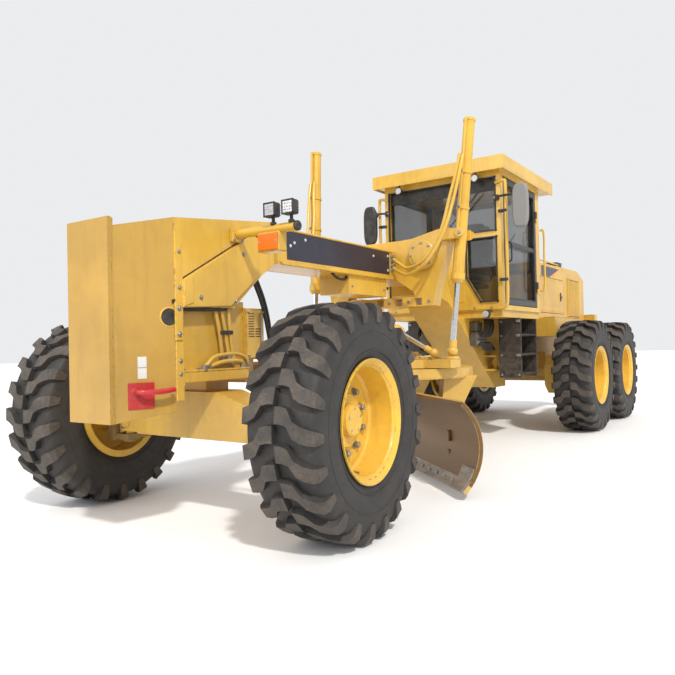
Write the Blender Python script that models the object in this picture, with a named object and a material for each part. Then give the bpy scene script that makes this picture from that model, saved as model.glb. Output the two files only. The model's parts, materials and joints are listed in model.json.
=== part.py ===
"""Motor grader: front frame with push block and cab, hinged rear frame, drawbar, circle and blade.

X is the machine's left, Y is rearward, Z is up. The origin is on the ground under the middle of the
machine. All sizes are in metres.
"""

import math

import bmesh
import bpy
from mathutils import Matrix, Vector

GAP = 0.0003  # between pieces that touch
PIN_GAP = 0.0005  # round a pin that turns in its eye
RUN = 0.006  # between pieces that move past each other
SIDES = 12  # round a pin or a tube

# Wheels and axles
FRONT_AXLE_Y = -3.565
WHEELBASE = 6.086
TANDEM_SPACING = 1.522
TRACK = 2.13
TYRE_R = 0.674
TYRE_WIDTH = 0.444
RIM_R = 0.350
BARREL_R = 0.318
RIM_WALL = 0.014
RIM_WIDTH = 0.416
HUB_R = 0.150
SPINDLE_R = 0.055
WHEEL_STEPS = 20
SPINDLE_BORE = 0.0560
STEER_AT_REST = math.radians(4.2)
KINGPIN_X = 0.800
KINGPIN_R = 0.030
LEAN_X = 0.680
LEAN_Z = 0.600
LEAN_ARM_X = 0.680
LEAN_BAR_Z = 0.905
AXLE_HALF = 0.560
AXLE_TOP = 0.825
AXLE_DEPTH = 0.125
TANDEM_WIDTH = 0.190

# Front frame
NOSE_HALF = 0.280
NOSE_FRONT = -0.510
NOSE_LOW = 1.350
NOSE_TOP = 1.860
LAMP_Z = 1.820
LAMP_REACH = 0.800
LAMPS_X = (0.614, 0.755)
PLATE_Y = -0.884
PLATE_THICK = 0.024
PLATE_HALF = 0.183
PLATE_TOP = 1.825
BLOCK_LOW = 0.700
BEAM_HALF = 0.165
BEAM_START = 0.560
BEAM_END = 3.050
BEAM_TOP_FRONT = 1.965
BEAM_TOP_REAR = 1.955
BEAM_DEEP = 0.270
BEAM_SHALLOW = 0.270
NECK_HALF = 0.250
NECK_LOW = 0.560
PIVOT_Y = 4.950
PIVOT_R = 0.060
HITCH_X = 0.345
HITCH_Z = 0.860
HITCH_R = 0.045
NOTCH_X = 0.160  # where the neck is cut in for the cylinders' swing
NOTCH_HIGH = 0.070

# Cab
CAB_FRONT = 3.580
CAB_REAR = 4.840
CAB_HALF = 0.700
CAB_WALL = 0.050
CAB_FLOOR = 1.440
CAB_TOP = 2.930
ROOF_THICK = 0.130
ROOF_OVERHANG = 0.085
DOOR_FRONT = 3.665
DOOR_REAR = 4.715
DOOR_LOW = 1.500
DOOR_HIGH = 2.860
DOOR_GAP = 0.006
MIRROR_X = {1: 0.860, -1: 0.765}
GLASS = 0.006
SILL = 0.060
HINGE_R = 0.010

# Rear frame and hood
HOOD_FRONT = 5.110
HOOD_REAR = 7.620
HOOD_HALF = 0.500
HOOD_LOW = 1.400
HOOD_TOP = 2.150
HOOD_WALL = 0.030
ENGINE_DOOR_FRONT = 5.420
ENGINE_DOOR_REAR = 6.520
REAR_END = 8.015

# Drawbar, circle and blade
DRAWBAR_BALL_Y = 0.470
DRAWBAR_BALL_Z = 0.920
BALL_R = 0.070
CIRCLE_Y = 2.450
CIRCLE_R = 0.765
CIRCLE_LOW = 0.790
CIRCLE_HIGH = 0.880
DRAWBAR_LOW = 0.886
DRAWBAR_HIGH = 0.960
BLADE_LENGTH = 3.658
BLADE_CHORD = 0.610
BLADE_ARC_R = 0.413
BLADE_THICK = 0.022
BLADE_EDGE_Z = 0.060
BLADE_EDGE_OUT = 0.100
BLADE_TURN = math.radians(42.0)
TIP_OUT = -0.300
TIP_Z = 0.330
RAIL_R = 0.026

# Lift cylinders, which hang in the yokes of the lift saddle
SADDLE_Y = 2.330
SADDLE_DEPTH = 0.150
YOKE = (0.800, 2.330, 2.060)
LIFT_TOP = (0.855, 2.450, 3.110)
LIFT_EYE_Z = 1.030
LIFT_BARREL_R = 0.052
LIFT_BARREL_END = 1.640
CENTRE_SHIFT_R = 0.042
LIFT_INSIDE = 0.800
SHIFT_INSIDE = 0.330
LUG_REACH = 0.110
HITCH_INSIDE = 0.300
YOKE_HALF = 0.085
YOKE_PLATE = 0.022

YELLOW = ("yellow paint", (0.78, 0.50, 0.08), 0.40, 0.0)
CAB_YELLOW = ("cab yellow paint", (0.78, 0.50, 0.08), 0.38, 0.0)
BLACK = ("black paint", (0.02, 0.02, 0.022), 0.45, 0.0)
TYRE = ("tyre rubber", (0.035, 0.033, 0.030), 0.85, 0.0)
CHROME = ("chromed rod", (0.60, 0.60, 0.62), 0.15, 1.0)
WORN = ("worn blade steel", (0.20, 0.12, 0.06), 0.45, 0.8)
TINTED = ("tinted glass", (0.05, 0.06, 0.06), 0.05, 0.0)
CLOTH = ("seat cloth", (0.04, 0.04, 0.045), 0.80, 0.0)
IRON = ("cast iron", (0.16, 0.15, 0.14), 0.60, 0.6)


def along(offset):
    """Y of a place that lies this far behind the front axle."""
    return FRONT_AXLE_Y + offset


def finish_named(finish):
    """The Principled material of a finish, made once."""
    name, colour, roughness, metallic = finish
    found = bpy.data.materials.get(name)
    if found:
        return found
    material = bpy.data.materials.new(name)
    material.use_nodes = True
    shader = material.node_tree.nodes["Principled BSDF"]
    shader.inputs["Base Color"].default_value = (*colour, 1.0)
    shader.inputs["Roughness"].default_value = roughness
    shader.inputs["Metallic"].default_value = metallic
    return material


def hull(points):
    """The convex solid around these points."""
    shape = bmesh.new()
    for point in points:
        shape.verts.new(point)
    made = bmesh.ops.convex_hull(shape, input=shape.verts)
    inside = {item for item in made["geom_interior"] if isinstance(item, bmesh.types.BMVert)}
    bmesh.ops.delete(shape, geom=list(inside), context="VERTS")
    bmesh.ops.recalc_face_normals(shape, faces=shape.faces)
    return shape


def cuboid(x, y, z):
    """A block between two values on each axis."""
    return hull([(a, b, c) for a in x for b in y for c in z])


def prism(outline, axis, span):
    """An outline extruded along X, Y or Z, between the two values of span."""
    def place(pair, value):
        return {"X": (value, *pair), "Y": (pair[0], value, pair[1]), "Z": (*pair, value)}[axis]

    shape = bmesh.new()
    low = [shape.verts.new(place(pair, span[0])) for pair in outline]
    face = shape.faces.new(low)
    grown = bmesh.ops.extrude_face_region(shape, geom=[face])
    moved = [item for item in grown["geom"] if isinstance(item, bmesh.types.BMVert)]
    shift = Vector(place((0.0, 0.0), span[1] - span[0]))
    bmesh.ops.translate(shape, vec=shift, verts=moved)
    bmesh.ops.recalc_face_normals(shape, faces=shape.faces)
    return shape


def rod(start, end, radius, sides=SIDES):
    """A straight round bar between two points."""
    start, end = Vector(start), Vector(end)
    shape = bmesh.new()
    turn = (end - start).to_track_quat("Z", "Y").to_matrix().to_4x4()
    bmesh.ops.create_cone(
        shape, cap_ends=True, segments=sides, radius1=radius, radius2=radius,
        depth=(end - start).length, matrix=Matrix.Translation((start + end) / 2) @ turn)
    return shape


def bore(start, end, radius, sides=SIDES):
    """The cutter for a bar that turns in it: its flats face the bar's corners, a pin's gap away."""
    way = Vector(end) - Vector(start)
    wide = (radius + PIN_GAP) / math.cos(math.pi / sides)
    return turned_about(rod(start, end, wide, sides), start, way, math.pi / sides)


def ball(centre, radius):
    """A round knob."""
    shape = bmesh.new()
    bmesh.ops.create_uvsphere(
        shape, u_segments=12, v_segments=8, radius=radius, matrix=Matrix.Translation(centre))
    return shape


def turned(profile, steps):
    """A closed profile of (along the axis, radius) pairs, spun round the X axis."""
    shape = bmesh.new()
    ring = [shape.verts.new((x, 0.0, r)) for x, r in profile]
    edges = [shape.edges.new(pair) for pair in zip(ring, ring[1:] + ring[:1])]
    bmesh.ops.spin(
        shape, geom=ring + edges, cent=(0, 0, 0), axis=(1, 0, 0), angle=2 * math.pi,
        steps=steps, use_merge=True)
    bmesh.ops.remove_doubles(shape, verts=shape.verts, dist=0.00005)
    bmesh.ops.recalc_face_normals(shape, faces=shape.faces)
    return shape


def turned_about(shape, centre, axis, angle):
    """The shape, turned about an axis through a centre."""
    bmesh.ops.rotate(shape, cent=centre, matrix=Matrix.Rotation(angle, 3, axis), verts=shape.verts)
    return shape


def helper(shape, name):
    """A hidden object that a Boolean reads."""
    mesh = bpy.data.meshes.new(name)
    shape.to_mesh(mesh)
    shape.free()
    thing = bpy.data.objects.new(name, mesh)
    bpy.context.scene.collection.objects.link(thing)
    thing.hide_render = True
    thing.display_type = "WIRE"
    return thing


def solid_mesh(name, add, cut):
    """One mesh from the shapes to add, less the shapes to cut."""
    base = helper(add[0], name + " base")
    tools = []
    for shapes, operation in ((add[1:], "UNION"), (cut, "DIFFERENCE")):
        for shape in shapes:
            tool = helper(shape, name + " tool")
            step = base.modifiers.new(operation, "BOOLEAN")
            step.operation = operation
            step.object = tool
            tools.append(tool)
    graph = bpy.context.evaluated_depsgraph_get()
    mesh = bpy.data.meshes.new_from_object(base.evaluated_get(graph))
    for thing in [base, *tools]:
        spare = thing.data
        bpy.data.objects.remove(thing)
        bpy.data.meshes.remove(spare)
    mesh.name = name
    merge_flat(mesh)
    return mesh


def merge_flat(mesh):
    """Joins the neighbouring faces that lie in one plane, which Booleans leave cut up."""
    shape = bmesh.new()
    shape.from_mesh(mesh)
    bmesh.ops.dissolve_limit(
        shape, angle_limit=math.radians(0.2), verts=shape.verts, edges=shape.edges,
        use_dissolve_boundaries=False)
    shape.to_mesh(mesh)
    shape.free()


def body(name, place, parent=None, axis=None):
    """An empty on a body's joint. Its Z axis is the joint's axis."""
    empty = bpy.data.objects.new("joint_" + name, None)
    bpy.context.scene.collection.objects.link(empty)
    turn = Vector(axis or (0, 0, 1)).to_track_quat("Z", "Y").to_matrix().to_4x4()
    if parent:
        empty.parent = parent
        bpy.context.view_layer.update()
        empty.matrix_parent_inverse = parent.matrix_world.inverted()
    empty.matrix_basis = Matrix.Translation(place) @ turn
    bpy.context.view_layer.update()
    return empty


def piece(name, carrier, finish, add, cut=(), smooth=False, place=None):
    """A named part from shapes to add and to cut, carried by a body."""
    mesh = solid_mesh(name, list(add), list(cut))
    return carried(name, carrier, finish, mesh, smooth, place)


def carried(name, carrier, finish, mesh, smooth=False, place=None):
    """An object of this mesh, with its finish, parented to its body."""
    if not mesh.materials:
        mesh.materials.append(finish_named(finish))
    if smooth:
        mesh.shade_smooth()
        mesh.set_sharp_from_angle(angle=math.radians(35))
    thing = bpy.data.objects.new(name, mesh)
    bpy.context.scene.collection.objects.link(thing)
    thing.parent = carrier
    thing.matrix_parent_inverse = carrier.matrix_world.inverted()
    thing.matrix_basis = place or Matrix.Identity(4)
    return thing


def knuckles(corner, s, back, low, high):
    """Hinge knuckles at two heights on a door's edge: shapes for the door and for what carries it.

    corner is the (x, y) of the axis, s the side, and back is the way in Y from the door to the frame.
    """
    x, y = corner
    door, frame = [], []
    for z in (low, high):
        for shapes, way, span in ((door, -back, (z, z + 0.08)), (frame, back, (z - 0.05, z - GAP))):
            shapes.append(rod((x, y, span[0]), (x, y, span[1]), HINGE_R, 8))
            shapes.append(cuboid(sorted((x - s * 0.020, x)), sorted((y, y + way * 0.045)), span))
    return door, frame


def cylinder(name, carrier, base, eye, barrel, radius, hinge_axis, inside, lugs=0.0, top=None):
    """A hydraulic cylinder: the barrel hinges at its base and the rod slides out towards the eye.

    barrel is the share of the way from base to eye at which the barrel ends. inside is the length of
    rod in the barrel at rest. top, where it is given, is the closed end of a barrel that passes
    through its base.
    """
    base, eye = Vector(base), Vector(eye)
    way = (eye - base).normalized()
    mouth = base.lerp(eye, barrel)
    start = Vector(top) if top else base
    rod_radius = radius * 0.5
    hinge = body(name + "_barrel", base, carrier, hinge_axis)
    slide = body(name + "_rod", mouth, hinge, way)
    inner = start.lerp(mouth, 0.06)
    adds = [rod(start, mouth, radius)]
    if lugs:
        across = Vector(hinge_axis).normalized() * lugs
        adds.append(rod(base - across, base + across, radius * 0.45))
    hollow = rod(inner, mouth + way * 0.05, rod_radius + PIN_GAP)
    piece(name + "_barrel", hinge, YELLOW, adds, [hollow], smooth=True)
    piece(name + "_rod", slide, CHROME,
          [rod(mouth - way * inside, eye, rod_radius), ball(eye, radius * 0.9)], smooth=True)
    return hinge, slide


def build_front_frame(root):
    """The nose, the main beam and the neck down to the hitch, as one welded frame."""
    y = along
    nose = [(y(NOSE_FRONT), NOSE_LOW), (y(-0.02), NOSE_LOW), (y(0.25), 1.58), (y(0.38), 1.66),
            (y(0.38), 1.955), (y(0.24), 1.940), (y(NOSE_FRONT), NOSE_TOP)]
    taper = hull([(s * w, y(at), z) for s in (-1, 1) for w, at, low, top in (
        (NOSE_HALF, 0.375, 1.66, 1.955), (BEAM_HALF, BEAM_START, 1.70, BEAM_TOP_FRONT))
        for z in (low, top)])
    beam = hull([(s * BEAM_HALF, y(at), z) for s in (-1, 1) for at, top, deep in (
        (BEAM_START - 0.01, BEAM_TOP_FRONT, BEAM_DEEP), (BEAM_END, BEAM_TOP_REAR, BEAM_SHALLOW))
        for z in (top, top - deep)])
    neck = [(y(2.90), 1.600), (y(2.90), 1.900), (y(3.05), BEAM_TOP_REAR), (y(3.44), 1.385),
            (y(4.80), 1.385), (y(4.80), NECK_LOW), (y(4.45), NECK_LOW), (y(3.22), 1.520)]
    front_plate = cuboid((-NOSE_HALF, NOSE_HALF), (y(NOSE_FRONT), y(NOSE_FRONT + 0.04)),
                         (0.80, NOSE_LOW + 0.05))
    bolster = cuboid((-0.21, 0.21), (y(-0.48), y(0.14)), (0.960, NOSE_LOW + 0.05))
    saddle_box = cuboid((-0.10, 0.10), (y(-0.10), y(0.10)), (AXLE_TOP + GAP, 0.98))
    ball_bracket = cuboid((-0.11, 0.11), (y(0.12), y(0.34)), (0.98, 1.30))
    ball_bracket_low = hull([(s * 0.09, y(at), z) for s in (-1, 1) for at, z in (
        (0.20, 0.99), (0.36, 1.00), (0.36, 0.86), (0.28, 0.86))])
    ball_stem = rod((0, y(0.34), DRAWBAR_BALL_Z), (0, y(DRAWBAR_BALL_Y) - BALL_R - GAP, DRAWBAR_BALL_Z),
                    0.050)
    valve_box = cuboid((0.0, 0.235), (y(0.13), y(0.31)), (1.02, 1.36))
    lugs = [prism([(s * 0.16, y(4.79)) for s in (1, -1)] + [(-0.09, y(PIVOT_Y + 0.09)),
        (0.09, y(PIVOT_Y + 0.09))],
                  "Z", span) for span in ((NECK_LOW, NECK_LOW + 0.08), (1.27, 1.35))]
    under_box = cuboid((-0.15, 0.15), (y(1.50), y(2.12)), (1.535, 1.72))
    cylinder_lugs = [cuboid(sorted((s * (NECK_HALF - 0.01), s * (HITCH_X + 0.04))), (y(4.17), y(4.33)),
                            span)
                     for s in (-1, 1) for span in ((HITCH_Z - 0.09, HITCH_Z - 0.07),
                                                   (HITCH_Z + 0.07, HITCH_Z + 0.09))]
    platform = cuboid((-CAB_HALF + 0.02, CAB_HALF - 0.02), (y(CAB_FRONT + 0.02), y(CAB_REAR - 0.02)),
                      (1.365, CAB_FLOOR - GAP))
    hitch_hole = bore((0, y(PIVOT_Y), 0.4), (0, y(PIVOT_Y), 1.5), PIVOT_R)
    notches = [cuboid(sorted((s * NOTCH_X, s * (NECK_HALF + 0.1))), (y(4.34), y(PIVOT_Y)),
                      (HITCH_Z - NOTCH_HIGH, HITCH_Z + NOTCH_HIGH)) for s in (-1, 1)]
    piece("front_frame", root, YELLOW, [
        prism(nose, "X", (-NOSE_HALF, NOSE_HALF)), taper, beam, prism(neck, "X",
            (-NECK_HALF, NECK_HALF)),
        front_plate, bolster, saddle_box, ball_bracket, ball_bracket_low, valve_box, *lugs, under_box,
        *cylinder_lugs, platform, ball_stem], [hitch_hole, *notches])
    seam = NOSE_FRONT - GAP
    rear = PLATE_Y + PLATE_THICK
    body_block = hull([(s * w, y(at), z) for s in (-1, 1) for w, at, low, top in (
        (PLATE_HALF - 0.006, rear - 0.01, BLOCK_LOW, 1.775), (NOSE_HALF, seam, BLOCK_LOW + 0.04,
            NOSE_TOP))
        for z in (low, top)])
    face = cuboid((-PLATE_HALF, PLATE_HALF), (y(PLATE_Y), y(rear)), (BLOCK_LOW, PLATE_TOP))
    piece("push_block", root, YELLOW, [body_block, face])
    for side, s in (("left", 1), ("right", -1)):
        tube = rod((s * (NOSE_HALF + GAP), y(0.0), LAMP_Z), (s * LAMP_REACH, y(0.0), LAMP_Z), 0.028)
        foot = cuboid(sorted((s * (NOSE_HALF + GAP), s * 0.31)), (y(-0.05), y(0.05)),
                      (LAMP_Z - 0.05, LAMP_Z + 0.035))
        lamps = [cuboid((s * x - 0.043, s * x + 0.043), (y(-0.055), y(0.005)),
                        (LAMP_Z + 0.067, LAMP_Z + 0.153))
                 for x in LAMPS_X]
        stems = [rod((s * x, y(-0.015), LAMP_Z), (s * x, y(-0.015), LAMP_Z + 0.08), 0.011, 8)
                 for x in LAMPS_X]
        signal = cuboid(sorted((s * 0.50, s * 0.67)), (y(-0.045), y(0.045)),
                        (LAMP_Z - 0.14, LAMP_Z - 0.015))
        piece("lamp_arm_" + side, root, YELLOW, [tube, foot, *lamps, *stems, signal])


def build_front_axle(root):
    """The axle beam, the leaning end castings, the steering knuckles and the lean bar."""
    axle_z = TYRE_R
    y = along(0.0)
    beam = hull([(s * x, y + d, z) for s in (-1, 1) for x, z in (
        (0.20, AXLE_TOP), (AXLE_HALF, 0.72), (AXLE_HALF, 0.52), (0.20, 0.60))
        for d in (-AXLE_DEPTH, AXLE_DEPTH)])
    forks = [cuboid(sorted((s * (AXLE_HALF - 0.03), s * (LEAN_X + 0.05))),
                    sorted((y + d * 0.085, y + d * AXLE_DEPTH)),
                    (LEAN_Z - 0.07, LEAN_Z + 0.07)) for s in (-1, 1) for d in (-1, 1)]
    holes = [bore((s * LEAN_X, y - 0.2, LEAN_Z), (s * LEAN_X, y + 0.2, LEAN_Z), 0.030) for s in (-1, 1)]
    piece("front_axle", root, YELLOW, [beam, *forks], holes)
    carriers = {}
    for side, s in (("left", 1), ("right", -1)):
        lean = body("lean_" + side, (s * LEAN_X, y, LEAN_Z), root, (0, -1, 0))
        tongue = hull([(s * x, y + d * deep, z) for d in (-1, 1) for x, z, deep in (
            (LEAN_X - 0.05, 0.57, 0.079), (LEAN_X - 0.05, 0.64, 0.079), (LEAN_X, 0.54, 0.079),
            (LEAN_X + 0.03, 0.76, 0.079), (KINGPIN_X + 0.05, 0.50, 0.045), (KINGPIN_X + 0.05, 0.86,
                0.045),
            (KINGPIN_X - 0.05, 0.86, 0.045))])
        pin = rod((s * LEAN_X, y - 0.14, LEAN_Z), (s * LEAN_X, y + 0.14, LEAN_Z), 0.030)
        kingpin = rod((s * KINGPIN_X, y, 0.44), (s * KINGPIN_X, y, 0.92), KINGPIN_R)
        arm = cuboid(sorted((s * (LEAN_ARM_X - 0.032), s * (LEAN_ARM_X + 0.032))), (y + 0.06, y + 0.10),
                     (0.70, 0.93))
        arm_pin = rod((s * LEAN_ARM_X, y + 0.09, LEAN_BAR_Z), (s * LEAN_ARM_X, y + 0.157, LEAN_BAR_Z),
                      0.016)
        piece("axle_end_" + side, lean, YELLOW, [tongue, pin, kingpin, arm, arm_pin])
        turn = body("steer_" + side, (s * KINGPIN_X, y, axle_z), lean, (0, 0, 1))
        lugs = [hull([(s * x, y + d, z) for d in (-0.055, 0.055) for x in (KINGPIN_X - 0.045, 0.93)
                      for z in span])
                for span in ((0.450, 0.494), (0.866, 0.906))]
        web = cuboid(sorted((s * 0.880, s * 0.930)), (y - 0.085, y + 0.085), (0.450, 0.906))
        spindle = rod((s * 0.92, y, axle_z), (s * (TRACK / 2 + 0.055), y, axle_z), SPINDLE_R)
        steer_arm = hull([(s * x, y + d, z) for x,
                          d in ((0.800, 0.030), (0.925, 0.080), (0.880, 0.150), (0.800, 0.180),
                                                         (0.765, 0.180), (0.765,
                                                             0.040)) for z in (0.455, 0.490)])
        bores = [bore((s * KINGPIN_X, y, 0.40), (s * KINGPIN_X, y, 0.95), KINGPIN_R)]
        at_rest = [turned_about(shape, (s * KINGPIN_X, y, 0), "Z", STEER_AT_REST)
                   for shape in (*lugs, web, spindle, steer_arm)]
        piece("knuckle_" + side, turn, IRON, at_rest, bores)
        carriers[side] = (lean, turn)
    x, z = LEAN_ARM_X, LEAN_BAR_Z
    link = body("lean_bar", (x, y + 0.14, z), carriers["left"][0], (0, 1, 0))
    eyes = [rod((s * x, y + 0.122, z), (s * x, y + 0.152, z), 0.031) for s in (-1, 1)]
    eye_bores = [bore((s * x, y + 0.10, z), (s * x, y + 0.2, z), 0.016) for s in (-1, 1)]
    tube = rod((0.024 - x, y + 0.137, z), (x - 0.024, y + 0.137, z), 0.017)
    piece("lean_bar", link, YELLOW, [tube, *eyes], eye_bores, smooth=True)
    return carriers


def tyre_mesh():
    """The tyre as a ring on the rim's barrel, its axis on X and its outer side at +X."""
    half = TYRE_WIDTH / 2
    crown = TYRE_R - 0.020
    side = [(half - 0.034, BARREL_R + GAP), (half - 0.034, RIM_R + 0.004),
            (half - 0.008, RIM_R + 0.060),
            (half, RIM_R + 0.150), (half - 0.010, crown - 0.060), (half - 0.060, TYRE_R)]
    ring = side + [(-x, r) for x, r in reversed(side)]
    return solid_mesh("tyre", [turned(ring, WHEEL_STEPS)], [])


def rim_mesh(dish):
    """The rim with its disc and its hub, whose blind bore takes the spindle from the inner side."""
    half = RIM_WIDTH / 2
    inner = BARREL_R - RIM_WALL
    outline = [(half, RIM_R), (half - 0.018, RIM_R), (half - 0.018, BARREL_R), (0.018 - half, BARREL_R),
               (0.018 - half, RIM_R), (-half, RIM_R), (-half, inner), (dish - 0.012, inner),
               (dish - 0.012, HUB_R), (-0.095, HUB_R), (-0.095, SPINDLE_BORE),
               (0.058, SPINDLE_BORE), (0.058, 0.0), (0.095, 0.0), (0.095, HUB_R - 0.030),
               (dish + 0.012, HUB_R), (dish + 0.012, inner), (half, inner)]
    return solid_mesh("rim", [turned(outline, WHEEL_STEPS)], [])


def build_wheels(root, rear, carriers):
    """Six wheels, each a tyre and a rim that turn on a spindle."""
    tyre, rim = tyre_mesh(), rim_mesh(0.0)
    half = TANDEM_SPACING / 2
    places = [("front", 0.0)] + [(name, WHEELBASE + at)
                                 for name, at in (("middle", -half), ("rear", half))]
    for row, offset in places:
        for side, s in (("left", 1), ("right", -1)):
            centre = Vector((s * TRACK / 2, along(offset), TYRE_R))
            facing = 0.0 if s > 0 else math.pi
            carrier = rear
            if row == "front":
                carrier = carriers[side][1]
                kingpin = Vector((s * KINGPIN_X, along(offset), TYRE_R))
                centre = kingpin + Matrix.Rotation(STEER_AT_REST, 3, "Z") @ (centre - kingpin)
                facing += STEER_AT_REST
            axis = Matrix.Rotation(facing, 3, "Z") @ Vector((s, 0, 0))
            hub = body(f"wheel_{row}_{side}", centre, carrier, axis)
            place = Matrix.Translation(centre) @ Matrix.Rotation(facing, 4, "Z")
            carried(f"tyre_{row}_{side}", hub, TYRE, tyre, True, place)
            carried(f"rim_{row}_{side}", hub, YELLOW, rim.copy(), True, place)


def build_cab(root):
    """The hollow cab with its roof, its windows, its two doors, the seat and the controls."""
    y = along
    front, rear = y(CAB_FRONT), y(CAB_REAR)
    roof = cuboid((-CAB_HALF - ROOF_OVERHANG, CAB_HALF + ROOF_OVERHANG), (front - 0.13, rear + 0.30),
                  (CAB_TOP - 0.02, CAB_TOP - 0.02 + ROOF_THICK))
    shell = cuboid((-CAB_HALF, CAB_HALF), (front, rear), (CAB_FLOOR, CAB_TOP))
    inner = CAB_HALF - CAB_WALL
    room = cuboid((-inner, inner), (front + CAB_WALL, rear - CAB_WALL),
                  (CAB_FLOOR + 0.05, CAB_TOP - 0.06))
    through = (front - 0.1, front + 0.1)
    upper = cuboid((-inner, inner), through, (2.280, 2.850))
    lower = [prism([(s * inner, 2.220), (s * inner, 1.530), (s * 0.46, 1.530), (s * 0.30, 1.80),
                    (s * 0.30, 2.220)],
                   "Y", through) for s in (-1, 1)]
    back = cuboid((-0.58, 0.58), (rear - 0.1, rear + 0.1), (1.95, 2.80))
    hinge_x, hinge_y = CAB_HALF + HINGE_R, y(DOOR_REAR) + DOOR_GAP / 2
    hinges = {s: knuckles((s * hinge_x, hinge_y), s, 1, 1.72, 2.56) for s in (1, -1)}
    doors = cuboid((-1, 1), (y(DOOR_FRONT) - DOOR_GAP, y(DOOR_REAR) + DOOR_GAP),
                   (DOOR_LOW - DOOR_GAP, DOOR_HIGH + DOOR_GAP))
    frames = [shape for s in (1, -1) for shape in hinges[s][1]]
    cab = bmesh.new()
    cab.from_mesh(solid_mesh("cab shell", [shell, roof], [room, upper, *lower, back, doors]))
    piece("cab", root, CAB_YELLOW, [cab, *frames])
    inside = front + CAB_WALL + GAP
    piece("windscreen", root, TINTED, [cuboid((-inner + 0.002, inner - 0.002), (inside, inside + GLASS),
                                              (1.500, 2.860))])
    behind = rear - CAB_WALL - GAP
    piece("rear_window", root, TINTED, [cuboid((-0.61, 0.61), (behind - GLASS, behind), (1.92, 2.83))])
    for side, s in (("left", 1), ("right", -1)):
        hinge = body("door_" + side, (s * hinge_x, hinge_y, 2.0), root, (0, 0, s))
        leaf = cuboid(sorted((s * (CAB_HALF - 0.045), s * CAB_HALF)), (y(DOOR_FRONT), y(DOOR_REAR)),
                      (DOOR_LOW, DOOR_HIGH))
        pane = cuboid((-1, 1), (y(DOOR_FRONT) + SILL, y(DOOR_REAR) - SILL),
                      (DOOR_LOW + SILL, DOOR_HIGH - SILL))
        cut_leaf = bmesh.new()
        cut_leaf.from_mesh(solid_mesh("leaf", [leaf], [pane]))
        piece("door_" + side, hinge, BLACK, [cut_leaf, *hinges[s][0]])
        face = s * (CAB_HALF - 0.045 - GAP)
        piece("door_glass_" + side, hinge, TINTED, [cuboid(
            sorted((face, face - s * GLASS)), (y(DOOR_FRONT) + SILL / 2, y(DOOR_REAR) - SILL / 2),
            (DOOR_LOW + SILL / 2, DOOR_HIGH - SILL / 2))])
        head_x = MIRROR_X[s]
        arm = rod((s * (CAB_HALF - 0.03), front - 0.016, 2.62), (s * (head_x + 0.02), y(3.50), 2.62), 0.012, 8)
        foot = cuboid(sorted((s * 0.63, s * 0.69)), (front - 0.032, front - GAP), (2.59, 2.65))
        head = cuboid(sorted((s * head_x, s * (head_x + 0.17))), (y(3.485), y(3.530)), (2.26, 2.72))
        piece("mirror_" + side, root, BLACK, [arm, foot, head])
        steps = [cuboid(sorted((s * 0.45, s * 0.70)), (y(4.10), y(4.62)), (z, z + 0.03))
                 for z in (0.72, 0.94, 1.16)]
        cheeks = [cuboid(sorted((s * 0.45, s * 0.71)), (y(at), y(at + 0.02)), (0.695, 1.365 - GAP))
                  for at in (4.09, 4.61)]
        piece("ladder_" + side, root, BLACK, [*cheeks, *steps])
    floor = CAB_FLOOR + 0.05 + GAP
    seat = [cuboid((-0.16, 0.16), (y(4.12), y(4.42)), (floor, floor + 0.30)),
            cuboid((-0.25, 0.25), (y(4.02), y(4.50)), (floor + 0.28, floor + 0.42)),
            hull([(x, y(at), z) for x in (-0.24, 0.24)
                  for at, z in ((4.42, floor + 0.36), (4.52, floor + 0.36),
                                                                   (4.50, floor + 1.06), (4.58,
                                                                       floor + 1.06))])]
    piece("seat", root, CLOTH, seat)
    console = hull([(x, y(at), z) for x in (-0.20, 0.20)
                    for at, z in ((3.66, floor), (3.90, floor), (3.68, floor + 0.52),
                                                                     (3.80, floor + 0.56))])
    top = Vector((0, y(3.86), floor + 0.66))
    lean = Vector((0, 0.5, 0.86)).normalized()
    wheel = rod(top, top + lean * 0.03, 0.19, 20)
    post = rod((0, y(3.74), floor + 0.46), top + lean * 0.01, 0.025)
    piece("steering_console", root, BLACK, [console, post, wheel])


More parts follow.
